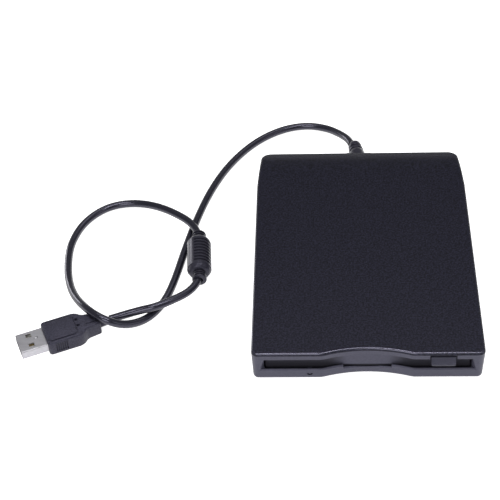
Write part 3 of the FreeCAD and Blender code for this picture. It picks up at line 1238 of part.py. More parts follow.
def ferrite_sleeve():
    start, end = ferrite_axis()
    neck = FERRITE_NECK_D / 2
    body = FERRITE_D / 2
    n = FERRITE_NECK_L
    total = FERRITE_L + 2 * n
    bore = CORD_D / 2
    half_profile = [(0, bore), (0, neck), (n, neck), (n + FERRITE_NOSE / 3, body - FERRITE_NOSE / 4),
                    (n + FERRITE_NOSE, body)]
    rest = [(total - along, radius) for along, radius in reversed(half_profile)]
    sleeve = turned(half_profile + rest, start, end)
    return sleeve.cut(ferrite_core_block())


def ferrite_core_block():
    start, end = ferrite_axis()
    along = (end - start).normalize()
    inset = FERRITE_NECK_L + FERRITE_NOSE
    return rod(start + along * inset, end - along * inset, FERRITE_D - 2 * FERRITE_COVER)


def ferrite_core():
    start, end = ferrite_axis()
    return ferrite_core_block().cut(rod(start, end, CORD_D))


# ---------------------------------------------------------------- plug
def plug_placed(shape):
    """From the plug's own axes (X towards the tip, cord end at 0) to its place."""
    shape.Placement = FreeCAD.Placement(Vector(*PLUG_JOIN),
                                        FreeCAD.Rotation(Vector(0, 0, 1), 180 + PLUG_ANGLE))
    return shape


def plug_overmould():
    neck = rod(Vector(0, 0, 0), Vector(PLUG_NECK_L + 0.5, 0, 0), PLUG_NECK_D)
    tail_end = PLUG_NECK_L + PLUG_TAIL_L
    tail_t = PLUG_T - 1.0
    half = PLUG_TAIL_W / 2
    tail = plate([(PLUG_NECK_L, PLUG_TAIL_TAPER - half), (tail_end + 1, -half), (tail_end + 1, half),
                  (PLUG_NECK_L, half - PLUG_TAIL_TAPER)], -tail_t / 2, tail_t / 2)
    tail = tail.makeFillet(1.4, [edge for edge in tail.Edges if edge.BoundBox.XLength > 1])
    end = tail_end + PLUG_L
    wide_half = PLUG_W / 2
    wide = plate([(tail_end - PLUG_SHOULDER, 0.4 - half), (tail_end, -wide_half), (end, -wide_half),
                  (end, wide_half), (tail_end, wide_half), (tail_end - PLUG_SHOULDER, half - 0.4)],
                 -PLUG_T / 2, PLUG_T / 2)
    wide = wide.makeFillet(1.5, wide.Edges)
    shape = wide.fuse([tail, neck])
    grooves = [box(x, x + 0.5, side * wide_half - 0.35, side * wide_half + 0.35, -2.4, 2.4)
               for x in [tail_end + 7.4 + PLUG_RIB_PITCH * i for i in range(6)] for side in (-1, 1)]
    pocket = box(end - 3.0, end + 1, -USB_W / 2, USB_W / 2, -USB_T / 2, USB_T / 2)
    return plug_placed(shape.cut(grooves + [pocket]).removeSplitter())


def plug_tip_x():
    return PLUG_NECK_L + PLUG_TAIL_L + PLUG_L


def plug_shell():
    x0 = plug_tip_x() - 3.0
    x1 = plug_tip_x() + USB_L
    t = USB_WALL
    tube = box(x0, x1, -USB_W / 2, USB_W / 2, -USB_T / 2, USB_T / 2)
    tube = tube.makeFillet(0.5, [edge for edge in tube.Edges if edge.BoundBox.XLength > 1])
    inner = box(x0 + t, x1 + 1, -USB_W / 2 + t, USB_W / 2 - t, -USB_T / 2 + t, USB_T / 2 - t)
    windows = []
    for y in (-USB_WINDOW_Y, USB_WINDOW_Y):
        for z in (-USB_T / 2, USB_T / 2):
            windows.append(box(x1 - USB_WINDOW_X, x1 - USB_WINDOW_X + USB_WINDOW_L,
                               y - USB_WINDOW_W / 2, y + USB_WINDOW_W / 2, z - 1, z + 1))
    return plug_placed(tube.cut([inner] + windows))


def plug_tongue():
    x0 = plug_tip_x() - 3.0 + USB_WALL
    x1 = plug_tip_x() + USB_L - 0.6
    half = USB_W / 2 - USB_WALL - 0.05
    low = -USB_T / 2 + USB_WALL + 0.05
    return plug_placed(box(x0, x1, -half, half, low, low + 1.9))


def plug_contacts():
    x0 = plug_tip_x() + 1.0
    x1 = plug_tip_x() + USB_L - 1.8
    top = -USB_T / 2 + USB_WALL + 0.05 + 1.9
    strips = [box(x0, x1, y - 0.5, y + 0.5, top, top + 0.15) for y in (-3.5, -1.0, 1.0, 3.5)]
    return plug_placed(group(strips))


# ---------------------------------------------------------------- the whole drive
def main():
    block = housing_block()
    cavity = housing_cavity()
    pieces = {
        "bottom_cover": bottom_cover(block, cavity),
        "top_cover": top_cover(block, cavity),
        "feet": feet(),
        "case_screws": case_screws(),
        "eject_button": eject_button(),
        "dust_door": dust_door(),
        "led_lens": led_lens(),
        "eject_slider": eject_slider(),
        "slider_guides": slider_guides(),
        "disk_holder": disk_holder(),
        "holder_pins": holder_pins(),
        "lever_pivot": lever_pivot(),
        "shutter_lever": shutter_lever(),
        "chassis": chassis(),
        "datum_posts": datum_posts(),
        "chassis_screws": chassis_screws(),
        "mechanism_shield": mechanism_shield(),
        "motor_board": motor_board(),
        "stator_coils": stator_coils(),
        "spindle_bearing": spindle_bearing(),
        "rotor": rotor(),
        "rotor_magnet": rotor_magnet(),
        "spindle_shaft": spindle_shaft(),
        "drive_pin": drive_pin(),
        "position_switches": position_switches(),
        "activity_led": activity_led(),
        "head_carriage": head_carriage(),
        "lower_head": lower_head(),
        "arm_pin": arm_pin(),
        "upper_head_arm": upper_head_arm(),
        "upper_head": upper_head(),
        "guide_rod": guide_rod(),
        "rod_clamps": rod_clamps(),
        "lead_screw": lead_screw(),
        "screw_bracket": screw_bracket(),
        "stepper_motor": stepper_motor(),
        "track0_sensor": track0_sensor(),
        "main_board": main_board(),
        "main_board_chips": main_board_chips(),
        "usb_board": usb_board(),
        "usb_controller": usb_controller(),
        "crystal": crystal(),
        "board_screws": board_screws(),
        "cord_connector": cord_connector(),
        "interface_ribbon": interface_ribbon(),
        "cord_leads": cord_leads(),
        "strain_relief": strain_relief(),
        "usb_cord": usb_cord(),
        "ferrite_sleeve": ferrite_sleeve(),
        "ferrite_core": ferrite_core(),
        "plug_overmould": plug_overmould(),
        "plug_shell": plug_shell(),
        "plug_tongue": plug_tongue(),
        "plug_contacts": plug_contacts(),
    }
    for name, shape in pieces.items():
        save(name, shape)


main()
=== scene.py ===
import json
import math

import bmesh
import bpy
from bpy.props import FloatProperty, FloatVectorProperty, IntProperty, PointerProperty
from mathutils import Matrix, Vector


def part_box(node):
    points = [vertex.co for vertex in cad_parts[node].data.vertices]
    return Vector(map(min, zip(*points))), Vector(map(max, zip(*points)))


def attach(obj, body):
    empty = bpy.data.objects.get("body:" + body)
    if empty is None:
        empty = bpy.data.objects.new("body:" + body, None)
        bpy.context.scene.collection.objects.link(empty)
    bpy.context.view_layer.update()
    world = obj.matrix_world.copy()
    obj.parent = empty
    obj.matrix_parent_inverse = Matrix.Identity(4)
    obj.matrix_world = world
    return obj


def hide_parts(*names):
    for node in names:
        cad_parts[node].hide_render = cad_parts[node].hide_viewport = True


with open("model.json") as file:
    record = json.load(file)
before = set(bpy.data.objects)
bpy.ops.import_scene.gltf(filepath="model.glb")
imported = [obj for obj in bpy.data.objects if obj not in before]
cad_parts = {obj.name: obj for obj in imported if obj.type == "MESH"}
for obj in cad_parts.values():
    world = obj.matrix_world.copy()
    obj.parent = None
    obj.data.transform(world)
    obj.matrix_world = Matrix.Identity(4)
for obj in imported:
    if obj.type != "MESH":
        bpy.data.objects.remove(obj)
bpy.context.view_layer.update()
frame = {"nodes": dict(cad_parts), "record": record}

bl_info = {
    "name": "External floppy disk drive",
    "version": (1, 0, 0),
    "blender": (4, 5, 0),
    "location": "3D View > Sidebar > Drive",
    "description": "Finishes and detail pieces of a slim external floppy disk drive",
    "category": "Object",
}

MM = 0.001

# Route of the cord's middle line, from the strain relief to the plug, in metres.
CORD_POINTS = [
    (-0.00329, 0.08620, 0.00751), (-0.00459, 0.09090, 0.00690), (-0.00889, 0.09803, 0.00500),
    (-0.01596, 0.10618, 0.00260), (-0.02723, 0.10978, 0.00190), (-0.04081, 0.10627, 0.00190),
    (-0.05512, 0.09534, 0.00190), (-0.06794, 0.07702, 0.00190), (-0.07672, 0.05565, 0.00190),
    (-0.08225, 0.03471, 0.00190), (-0.08664, 0.01368, 0.00190), (-0.09016, -0.00774, 0.00190),
    (-0.09422, -0.02311, 0.00190), (-0.10150, -0.03438, 0.00190), (-0.11101, -0.04082, 0.00460),
    (-0.11952, -0.04262, 0.01020), (-0.12791, -0.03641, 0.01020), (-0.13635, -0.02342, 0.00580),
    (-0.14164, -0.00914, 0.00200), (-0.14382, 0.00495, 0.00190), (-0.14389, 0.01898, 0.00190),
    (-0.13898, 0.03441, 0.00190), (-0.12782, 0.04590, 0.00190), (-0.11258, 0.04765, 0.00260),
    (-0.09665, 0.03890, 0.00560), (-0.08034, 0.02484, 0.00610), (-0.07899, 0.00367, 0.00610),
    (-0.07763, -0.01751, 0.00610), (-0.09581, -0.03139, 0.00760), (-0.10631, -0.03200, 0.00540),
    (-0.11890, -0.03600, 0.00400),
]
FERRITE_RUN = (25, 27)      # route points at the two ends of the ferrite's straight run
FERRITE_OFFSET = 10.0 * MM  # from the first of them to the ferrite's body
CORD_EXIT = Vector((0, 72.6, 8)) * MM    # middle of the rear boss's face
PLUG_TURN = 203.5           # degrees about Z from X to the plug's tip


# ---------------------------------------------------------------- sizes and colours
class DriveSizes(bpy.types.PropertyGroup):
    """Sizes of the detail pieces that a user would change."""

    cord_diameter: FloatProperty(name="Cord diameter", description="Across the cord's jacket",
                                 default=3.8 * MM, min=1 * MM, subtype="DISTANCE", unit="LENGTH")
    cord_length: FloatProperty(name="Cord length", description="From the strain relief to the plug",
                               default=0.467, min=0.1, subtype="DISTANCE", unit="LENGTH")
    ferrite_diameter: FloatProperty(name="Ferrite diameter", description="Across the ferrite's cover",
                                    default=11.7 * MM, min=8 * MM, subtype="DISTANCE", unit="LENGTH")
    ferrite_length: FloatProperty(name="Ferrite length", description="Cover without its necks",
                                  default=23.4 * MM, min=16 * MM, subtype="DISTANCE", unit="LENGTH")
    ferrite_grooves: IntProperty(name="Ferrite grooves", description="Grooves of each grip panel",
                                 default=8, min=2, max=8)
    plug_width: FloatProperty(name="Plug width", description="Wide part of the plug's moulding",
                              default=15.2 * MM, min=13 * MM, subtype="DISTANCE", unit="LENGTH")
    plug_thickness: FloatProperty(name="Plug thickness", description="Plug's moulding, top to bottom",
                                  default=8.0 * MM, min=6 * MM, subtype="DISTANCE", unit="LENGTH")
    button_width: FloatProperty(name="Button width", description="Eject button, side to side",
                                default=10.7 * MM, min=6 * MM, subtype="DISTANCE", unit="LENGTH")
    grain_size: FloatProperty(name="Grain size", description="Width of one grain on the lid",
                              default=0.8 * MM, min=0.1 * MM, subtype="DISTANCE", unit="LENGTH")


class DriveColours(bpy.types.PropertyGroup):
    """Colours of the finishes that a user would change."""

    lid: FloatVectorProperty(name="Lid", description="Fine-grained top cover", subtype="COLOR",
                             size=3, min=0, max=1, default=(0.0090, 0.0090, 0.0162))
    tub: FloatVectorProperty(name="Tub", description="Bottom cover with the front wall", subtype="COLOR",
                             size=3, min=0, max=1, default=(0.062, 0.061, 0.086))
    button: FloatVectorProperty(name="Button", description="Eject button", subtype="COLOR",
                                size=3, min=0, max=1, default=(0.035, 0.035, 0.049))
    cord: FloatVectorProperty(name="Cord", description="The cord's jacket", subtype="COLOR",
                              size=3, min=0, max=1, default=(0.009, 0.009, 0.014))
    plug: FloatVectorProperty(name="Plug", subtype="COLOR",
                              description="Plug's moulding; a darker shade on the other cord mouldings",
                              size=3, min=0, max=1, default=(0.034, 0.033, 0.048))
    floor: FloatVectorProperty(name="Floor", description="Floor and backdrop", subtype="COLOR",
                               size=3, min=0, max=1, default=(0.86, 0.86, 0.86))


# ---------------------------------------------------------------- materials
COOL_GLOSS = (0.80, 0.78, 1.0, 1)   # tint of the gloss on everything that isn't metal
NOISE_SPAN = (0.3, 0.7)             # most of a noise lies between these values
GRAIN_SPAN = (0.38, 0.64)           # part of the grain's noise over which dark turns to light
CLOUDS = 70.0                       # wide patches of uneven gloss on a moulding, per metre
PORES = 2200.0                      # pores of a pressed powder, per metre
WAVE_SCALE = 0.314                  # scale of a wave texture with one band to the metre


def add_node(tree, kind, **settings):
    """New node with the given settings."""
    made = tree.nodes.new(kind)
    for name, value in settings.items():
        setattr(made, name, value)
    return made


def start_material(name, metallic, specular):
    """New material with its shader, and the piece's own coordinates."""
    material = bpy.data.materials.new(name)
    material.use_nodes = True
    tree = material.node_tree
    shader = tree.nodes["Principled BSDF"]
    shader.inputs["Metallic"].default_value = metallic
    shader.inputs["Specular IOR Level"].default_value = specular
    if not metallic:
        shader.inputs["Specular Tint"].default_value = COOL_GLOSS
    coordinates = add_node(tree, "ShaderNodeTexCoord")
    return material, tree, shader, coordinates.outputs["Object"]


def stretched(tree, place, scale):
    """The place, scaled along each axis, which draws a pattern out into lines."""
    mapping = add_node(tree, "ShaderNodeMapping")
    mapping.inputs["Scale"].default_value = scale
    tree.links.new(place, mapping.inputs["Vector"])
    return mapping.outputs["Vector"]


def noise(tree, place, per_metre, detail=2.0, roughness=0.5):
    """Uneven spots, so many to the metre."""
    made = add_node(tree, "ShaderNodeTexNoise")
    made.inputs["Scale"].default_value = per_metre
    made.inputs["Detail"].default_value = detail
    made.inputs["Roughness"].default_value = roughness
    tree.links.new(place, made.inputs["Vector"])
    return made.outputs["Fac"]


def ranged(tree, value, start, end, low, high):
    """Turns a value that goes from start to end into one that goes from low to high."""
    span = add_node(tree, "ShaderNodeMapRange")
    for socket, number in zip(("From Min", "From Max", "To Min", "To Max"), (start, end, low, high)):
        span.inputs[socket].default_value = number
    tree.links.new(value, span.inputs["Value"])
    return span.outputs["Result"]


def two_tone(tree, shader, pattern, low, high, dark, light):
    """Colour that goes from dark to light as the pattern goes from low to high."""
    ramp = add_node(tree, "ShaderNodeValToRGB")
    ramp.color_ramp.elements[0].position = low
    ramp.color_ramp.elements[0].color = (*dark, 1)
    ramp.color_ramp.elements[1].position = high
    ramp.color_ramp.elements[1].color = (*light, 1)
    tree.links.new(pattern, ramp.inputs["Fac"])
    tree.links.new(ramp.outputs["Color"], shader.inputs["Base Color"])


def spread(tree, shader, pattern, socket, low, high):
    """Drives one of the shader's values between low and high by the pattern."""
    tree.links.new(ranged(tree, pattern, *NOISE_SPAN, low, high), shader.inputs[socket])


def relief(tree, shader, pattern, strength, depth):
    """Raises the surface by the pattern, at most by the depth."""
    bump = add_node(tree, "ShaderNodeBump")
    bump.inputs["Strength"].default_value = strength
    bump.inputs["Distance"].default_value = depth
    tree.links.new(pattern, bump.inputs["Height"])
    tree.links.new(bump.outputs["Normal"], shader.inputs["Normal"])


def shade(colour, factor):
    """The colour, lighter or darker by a factor."""
    return tuple(min(1.0, channel * factor) for channel in colour)


def grained_plastic(name, colour, grain, contrast, roughness, depth, specular=0.3):
    """Moulded plastic with a spark-eroded grain, a little lighter on the tops of the grains."""
    material, tree, shader, place = start_material(name, 0.0, specular)
    grains = noise(tree, place, 1 / grain, 2.0, 0.6)
    dark, light = shade(colour, 1 - contrast), shade(colour, 1 + contrast)
    two_tone(tree, shader, grains, *GRAIN_SPAN, dark, light)
    clouds = noise(tree, place, CLOUDS, 3.0)
    spread(tree, shader, clouds, "Roughness", roughness - 0.05, roughness + 0.05)
    relief(tree, shader, grains, 0.6, depth)
    return material


# Steepness of a face (1 is level, 0 is upright) and the part of the rim's gloss that it has.
RIM_CURVE = [(0.45, 0.0), (0.72, 1.0), (0.955, 1.0), (0.99, 0.0)]
RIM_FULL = (1.0, 1.0, 0.2)      # part of the curve at which gloss, roughness and grain are the rim's own


def gloss_on_rims(material, flat, rim):
    """Fades the grain out where the top turns over an edge, which leaves the rim glossier.

    Both flat and rim give the gloss, the roughness and the strength of the grain.
    """
    tree = material.node_tree
    shader = tree.nodes["Principled BSDF"]
    facing = add_node(tree, "ShaderNodeSeparateXYZ")
    tree.links.new(add_node(tree, "ShaderNodeNewGeometry").outputs["Normal"], facing.inputs[0])
    turning = add_node(tree, "ShaderNodeFloatCurve")
    curve = turning.mapping.curves[0]
    for place, value in zip(curve.points, ((0.0, 0.0), (1.0, 0.0))):
        place.location = value
    for place in RIM_CURVE:
        curve.points.new(*place)
    turning.mapping.update()
    tree.links.new(facing.outputs["Z"], turning.inputs["Value"])
    bump = next(node for node in tree.nodes if node.bl_idname == "ShaderNodeBump")
    sockets = shader.inputs["Specular IOR Level"], shader.inputs["Roughness"], bump.inputs["Strength"]
    for socket, full, low, high in zip(sockets, RIM_FULL, flat, rim):
        tree.links.new(ranged(tree, turning.outputs["Value"], 0.0, full, low, high), socket)
    return material


PANEL_HALF = 9.0 * MM                   # plain middle of the dust door, to either side
PANEL_FADE = 7.0 * MM                   # over which painted shade darkens it into the wings
PANEL_BOTTOM = 6.6 * MM                 # height of the panel's lower edge
PANEL_EDGE = 0.1 * MM                   # over which the painted shadow goes black there
# painted shade on the wings, which lie deep in the recess; their gloss is lowered along with it
WING_SHADE_COLOUR = (0.036, 0.035, 0.045, 1)
GAP_SHADOW_COLOUR = (0.006, 0.006, 0.009, 1)   # painted shadow in the gap under the panel
PANEL_GLOSS, WING_GLOSS = 0.25, 0.12


def painted_shade_wings(material):
    """Paints shade on the dust door to either side of its middle panel, and a black shadow under the panel.
    """
    tree = material.node_tree
    shader = tree.nodes["Principled BSDF"]
    place = add_node(tree, "ShaderNodeSeparateXYZ")
    tree.links.new(add_node(tree, "ShaderNodeTexCoord").outputs["Object"], place.inputs[0])
    across = add_node(tree, "ShaderNodeMath", operation="ABSOLUTE")
    tree.links.new(place.outputs["X"], across.inputs[0])
    wing = ranged(tree, across.outputs[0], PANEL_HALF, PANEL_HALF + PANEL_FADE, 0.0, 1.0)
    gap = ranged(tree, place.outputs["Z"], PANEL_BOTTOM, PANEL_BOTTOM - PANEL_EDGE, 0.0, 1.0)
    either = add_node(tree, "ShaderNodeMath", operation="MAXIMUM")
    tree.links.new(wing, either.inputs[0])
    tree.links.new(gap, either.inputs[1])
    colour = shader.inputs["Base Color"]
    for mask, dark in ((gap, GAP_SHADOW_COLOUR), (wing, WING_SHADE_COLOUR)):
        mix = add_node(tree, "ShaderNodeMix", data_type="RGBA")
        tree.links.new(mask, mix.inputs["Factor"])
        tree.links.new(colour.links[0].from_socket, mix.inputs[6])
        mix.inputs[7].default_value = dark
        tree.links.new(mix.outputs[2], colour)
    gloss = ranged(tree, either.outputs[0], 0.0, 1.0, PANEL_GLOSS, WING_GLOSS)
    tree.links.new(gloss, shader.inputs["Specular IOR Level"])
    return material


LID_TURN = (0.4, 0.6)       # facing values between which a face loses its gloss
CORD_TURN = (0.45, 0.75)
GLOSS_LEFT = 0.1            # part of the gloss that stays beyond them


def matt_edges(material, start, end):
    """Takes the gloss off where the surface turns away, from one facing value to another."""
    tree = material.node_tree
    gloss = tree.nodes["Principled BSDF"].inputs["Specular IOR Level"]
    turn = add_node(tree, "ShaderNodeLayerWeight")
    left = ranged(tree, turn.outputs["Facing"], start, end, 1.0, GLOSS_LEFT)
    product = add_node(tree, "ShaderNodeMath", operation="MULTIPLY")
    product.inputs[1].default_value = gloss.default_value
    if gloss.links:
        tree.links.new(gloss.links[0].from_socket, product.inputs[1])
    tree.links.new(left, product.inputs[0])
    tree.links.new(product.outputs[0], gloss)
    return material


def drawn_metal(name, colour, roughness, along=(40.0, 900.0, 900.0), contrast=0.08):
    """Sheet or bar metal with fine lines along its rolling or drawing direction."""
    material, tree, shader, place = start_material(name, 1.0, 0.5)
    lines = noise(tree, stretched(tree, place, along), 1.0, 4.0, 0.6)
    dark, light = shade(colour, 1 - contrast), shade(colour, 1 + contrast)
    two_tone(tree, shader, lines, *NOISE_SPAN, dark, light)
    spread(tree, shader, lines, "Roughness", roughness - 0.06, roughness + 0.08)
    relief(tree, shader, lines, 0.15, 0.01 * MM)
    return material


def pressed_powder(name, colour, metallic, roughness):
    """Sintered or bonded powder: dense, with tiny dark pores."""
    material, tree, shader, place = start_material(name, metallic, 0.4)
    pores = noise(tree, place, PORES, 5.0, 0.7)
    two_tone(tree, shader, pores, 0.36, 0.5, shade(colour, 0.45), colour)
    spread(tree, shader, pores, "Roughness", roughness + 0.15, roughness - 0.05)
    relief(tree, shader, pores, 0.4, 0.03 * MM)
    return material


def striped(name, colour, stripe, pitch, metallic, roughness):
    """Parallel lines, such as wound wire or the tracks of a flexible jumper."""
    material, tree, shader, place = start_material(name, metallic, 0.5)
    bands = add_node(tree, "ShaderNodeTexWave", wave_type="BANDS", bands_direction="X")
    bands.inputs["Scale"].default_value = WAVE_SCALE / pitch
    bands.inputs["Distortion"].default_value = 0.4
    tree.links.new(place, bands.inputs["Vector"])
    two_tone(tree, shader, bands.outputs["Fac"], 0.35, 0.6, stripe, colour)
    spread(tree, shader, bands.outputs["Fac"], "Roughness", roughness + 0.1, roughness)
    relief(tree, shader, bands.outputs["Fac"], 0.3, 0.05 * MM)
    return material


def circuit_board(name, mask, track):
    """Solder mask over copper tracks, which show as paler lines."""
    material, tree, shader, place = start_material(name, 0.0, 0.5)
    cells = add_node(tree, "ShaderNodeTexVoronoi", feature="DISTANCE_TO_EDGE", distance="MANHATTAN")
    cells.inputs["Scale"].default_value = 420.0
    tree.links.new(place, cells.inputs["Vector"])
    two_tone(tree, shader, cells.outputs["Distance"], 0.05, 0.09, track, mask)
    spread(tree, shader, noise(tree, place, 900.0), "Roughness", 0.28, 0.4)
    relief(tree, shader, cells.outputs["Distance"], 0.2, 0.03 * MM)
    return material


def build_finishes(sizes, colours):
    """One material for each of the record's material slots, and three for pieces that differ."""
    grain = sizes.grain_size
    lid = grained_plastic("lid_grain", colours.lid, grain, 0.7, 0.5, 0.06 * MM, 0.12)
    lid = gloss_on_rims(lid, flat=(0.16, 0.33, 0.8), rim=(1.0, 0.22, 0.0))
    tub_satin = (colours.tub, grain, 0.07, 0.42, 0.015 * MM, 0.25)
    return {
        "dark_plastic": matt_edges(lid, *LID_TURN),
        "grey_plastic": grained_plastic("tub_satin", *tub_satin),
        "button_plastic": grained_plastic("button_satin", colours.button, grain, 0.06, 0.38, 0.01 * MM, 0.25),
        "rubber": grained_plastic("foot_rubber", (0.02, 0.02, 0.02), 0.6 * MM, 0.2, 0.75, 0.04 * MM),
        # smoked lens; the same near-black finish makes the painted shadow under the activity lamp's plug
        "lens": grained_plastic(
            "smoked_lens", (0.003, 0.003, 0.006), 0.3 * MM, 0.1, 0.5, 0.004 * MM, 0.04),
        "steel": drawn_metal("zinc_plated_sheet", (0.56, 0.57, 0.58), 0.32),
        "dark_steel": drawn_metal("black_zinc", (0.06, 0.06, 0.065), 0.36),
        "brass": pressed_powder("sintered_bronze", (0.62, 0.45, 0.24), 1.0, 0.38),
        "copper": striped(
            "enamelled_windings", (0.62, 0.27, 0.12), (0.30, 0.11, 0.05), 0.2 * MM, 1.0, 0.3),
        "magnet": pressed_powder("bonded_magnet", (0.09, 0.09, 0.095), 0.0, 0.5),
        "board": circuit_board("solder_mask", (0.012, 0.11, 0.04), (0.03, 0.19, 0.075)),
        "black_part": grained_plastic(
            "component_epoxy", (0.016, 0.016, 0.017), 0.3 * MM, 0.25, 0.55, 0.02 * MM),
        "white_part": grained_plastic(
            "natural_nylon", (0.70, 0.69, 0.64), 0.8 * MM, 0.04, 0.45, 0.01 * MM),
        "carriage_plastic": grained_plastic(
            "glass_filled", (0.045, 0.045, 0.048), 0.5 * MM, 0.35, 0.55, 0.02 * MM),
        "ceramic": grained_plastic(
            "polished_head", (0.14, 0.12, 0.11), 1.2 * MM, 0.2, 0.12, 0.002 * MM, 0.6),
        "flex": striped(
            "polyimide_jumper", (0.55, 0.28, 0.07), (0.33, 0.12, 0.03), 0.8 * MM, 0.0, 0.25),
        "cord_jacket": matt_edges(grained_plastic(
            "cord_satin", colours.cord, 0.6 * MM, 0.12, 0.2, 0.004 * MM, 0.6), *CORD_TURN),
        "ferrite": pressed_powder("ferrite", (0.05, 0.05, 0.055), 0.2, 0.5),
        "plug_metal": drawn_metal(
            "nickel_shell", (0.365, 0.36, 0.385), 0.36, (90.0, 1400.0, 1400.0), 0.12),
        "gold": drawn_metal("gold_contacts", (0.83, 0.62, 0.25), 0.25),
        "lamp": grained_plastic("lamp_body", (0.60, 0.66, 0.55), 0.9 * MM, 0.05, 0.15, 0.003 * MM, 0.5),
        "plug_moulding": grained_plastic(
            "plug_satin", colours.plug, 0.7 * MM, 0.3, 0.42, 0.03 * MM, 0.2),
        # the tub's plastic, with painted shade on the door's wings and a painted shadow under its panel
        "door": painted_shade_wings(grained_plastic("door_satin", *tub_satin)),
        "cord_cover": grained_plastic(
            "cover_satin", shade(colours.plug, 0.62), 0.6 * MM, 0.12, 0.30, 0.006 * MM, 0.3),
    }


FINISHES = {}


def finish(name):
    """One of the finishes; all of them are made the first time that one is asked for."""
    if not FINISHES:
        scene = bpy.context.scene
        FINISHES.update(build_finishes(scene.drive_sizes, scene.drive_colours))
    return FINISHES[name]


# ---------------------------------------------------------------- mesh helpers
def make_piece(name, bm, material, sharp=35.0):
    """Turns a finished bmesh into an object at the origin; edges over sharp degrees stay crisp."""
    bmesh.ops.recalc_face_normals(bm, faces=bm.faces)
    mesh = bpy.data.meshes.new(name)
    bm.to_mesh(mesh)
    bm.free()
    mesh.shade_smooth()
    mesh.set_sharp_from_angle(angle=math.radians(sharp))
    mesh.materials.append(material)
    piece = bpy.data.objects.new(name, mesh)
    bpy.context.scene.collection.objects.link(piece)
    return piece


def block(bm, low, high):
    """Adds a box between two corners and returns its vertices."""
    size = Vector(high) - Vector(low)
    middle = (Vector(high) + Vector(low)) / 2
    matrix = Matrix.Translation(middle) @ Matrix.Diagonal((*size, 1.0))
    return bmesh.ops.create_cube(bm, size=1.0, matrix=matrix)["verts"]


def round_edges(bm, edges, radius, segments=3):
    """Rounds the given edges of a bmesh."""
    bmesh.ops.bevel(bm, geom=edges, offset=radius, offset_type="OFFSET", affect="EDGES",
                    segments=segments, profile=0.5, material=-1, clamp_overlap=True)


def turned(profile, steps):
    """Body of revolution about Z from (radius, height) points: a ring, or solid from radius 0."""
    bm = bmesh.new()
    points = [bm.verts.new((radius, 0, height)) for radius, height in profile]
    after = points[1:] if profile[0][0] == 0 else points[1:] + points[:1]
    edges = [bm.edges.new(pair) for pair in zip(points, after)]
    bmesh.ops.spin(bm, geom=points + edges, cent=(0, 0, 0), axis=(0, 0, 1), angle=2 * math.pi,
                   steps=steps, use_merge=True, use_duplicate=False)
    bmesh.ops.remove_doubles(bm, verts=bm.verts, dist=1e-6)
    return bm


def pushed_out(bm, corners, way):
    """Closes the corners into a face and pushes it out along the way into a solid."""
    face = bm.faces.new([bm.verts.new(corner) for corner in corners])
    lifted = bmesh.ops.extrude_face_region(bm, geom=[face])["geom"]
    moved = [item for item in lifted if isinstance(item, bmesh.types.BMVert)]
    bmesh.ops.translate(bm, verts=moved, vec=way)


def is_upright(edge, least):
    """True for an edge that rises by more than the given height."""
    return abs(edge.verts[0].co.z - edge.verts[1].co.z) > least


def add_bodies(bm, other):
    """Adds the bodies of another bmesh, which is used up."""
    mesh = bpy.data.meshes.new("added")
    other.to_mesh(mesh)
    other.free()
    bm.from_mesh(mesh)
    bpy.data.meshes.remove(mesh)


def carved(bm, cutters):
    """Cuts closed bodies out of one closed body, and gives what is left of it.

    The cut can lose the body where it has double corners, where a second body overlaps it, or where
    the cutters overlap each other.
    """
    meshes = []
    for name, given in (("carved", bm), ("cutters", cutters)):
        bmesh.ops.recalc_face_normals(given, faces=given.faces)
        meshes.append(bpy.data.meshes.new(name))
        given.to_mesh(meshes[-1])
        given.free()
    body, tool = (bpy.data.objects.new(mesh.name, mesh) for mesh in meshes)
    for item in (body, tool):
        bpy.context.scene.collection.objects.link(item)
    cut = body.modifiers.new("carve", "BOOLEAN")
    cut.operation = "DIFFERENCE"
    cut.solver = "EXACT"
    cut.object = tool
    meshes.append(bpy.data.meshes.new_from_object(
        body.evaluated_get(bpy.context.evaluated_depsgraph_get())))
    rest = bmesh.new()
    rest.from_mesh(meshes[-1])
    for item in (body, tool):
        bpy.data.objects.remove(item)
    for mesh in meshes:
        bpy.data.meshes.remove(mesh)
    return rest


def rim_edges(bm, height):
    """Edges that lie at one height."""
    return [edge for edge in bm.edges if all(abs(v.co.z - height) < 1e-6 for v in edge.verts)]


def along_axis(start, end):
    """Matrix that takes Z from the origin onto the line from start to end."""
    turn = (end - start).to_track_quat("Z", "Y").to_matrix().to_4x4()
    return Matrix.Translation(start) @ turn


# ---------------------------------------------------------------- pieces
class DRIVE_OT_finish_nodes(bpy.types.Operator):
    """Gives every node of the drive the finish of its material slot"""

    bl_idname = "drive.finish_nodes"
    bl_label = "Finish the covers and the mechanism"

    def execute(self, context):
        for part in frame["record"]["subparts"]:
            slots = frame["nodes"][part["node"]].data.materials
            slots.clear()
            # the dust door takes the finish with painted shade on its wings and a painted shadow under its
            # panel
            slots.append(finish("door" if part["node"] == "dust_door" else part["material_slot"]))
        return {"FINISHED"}


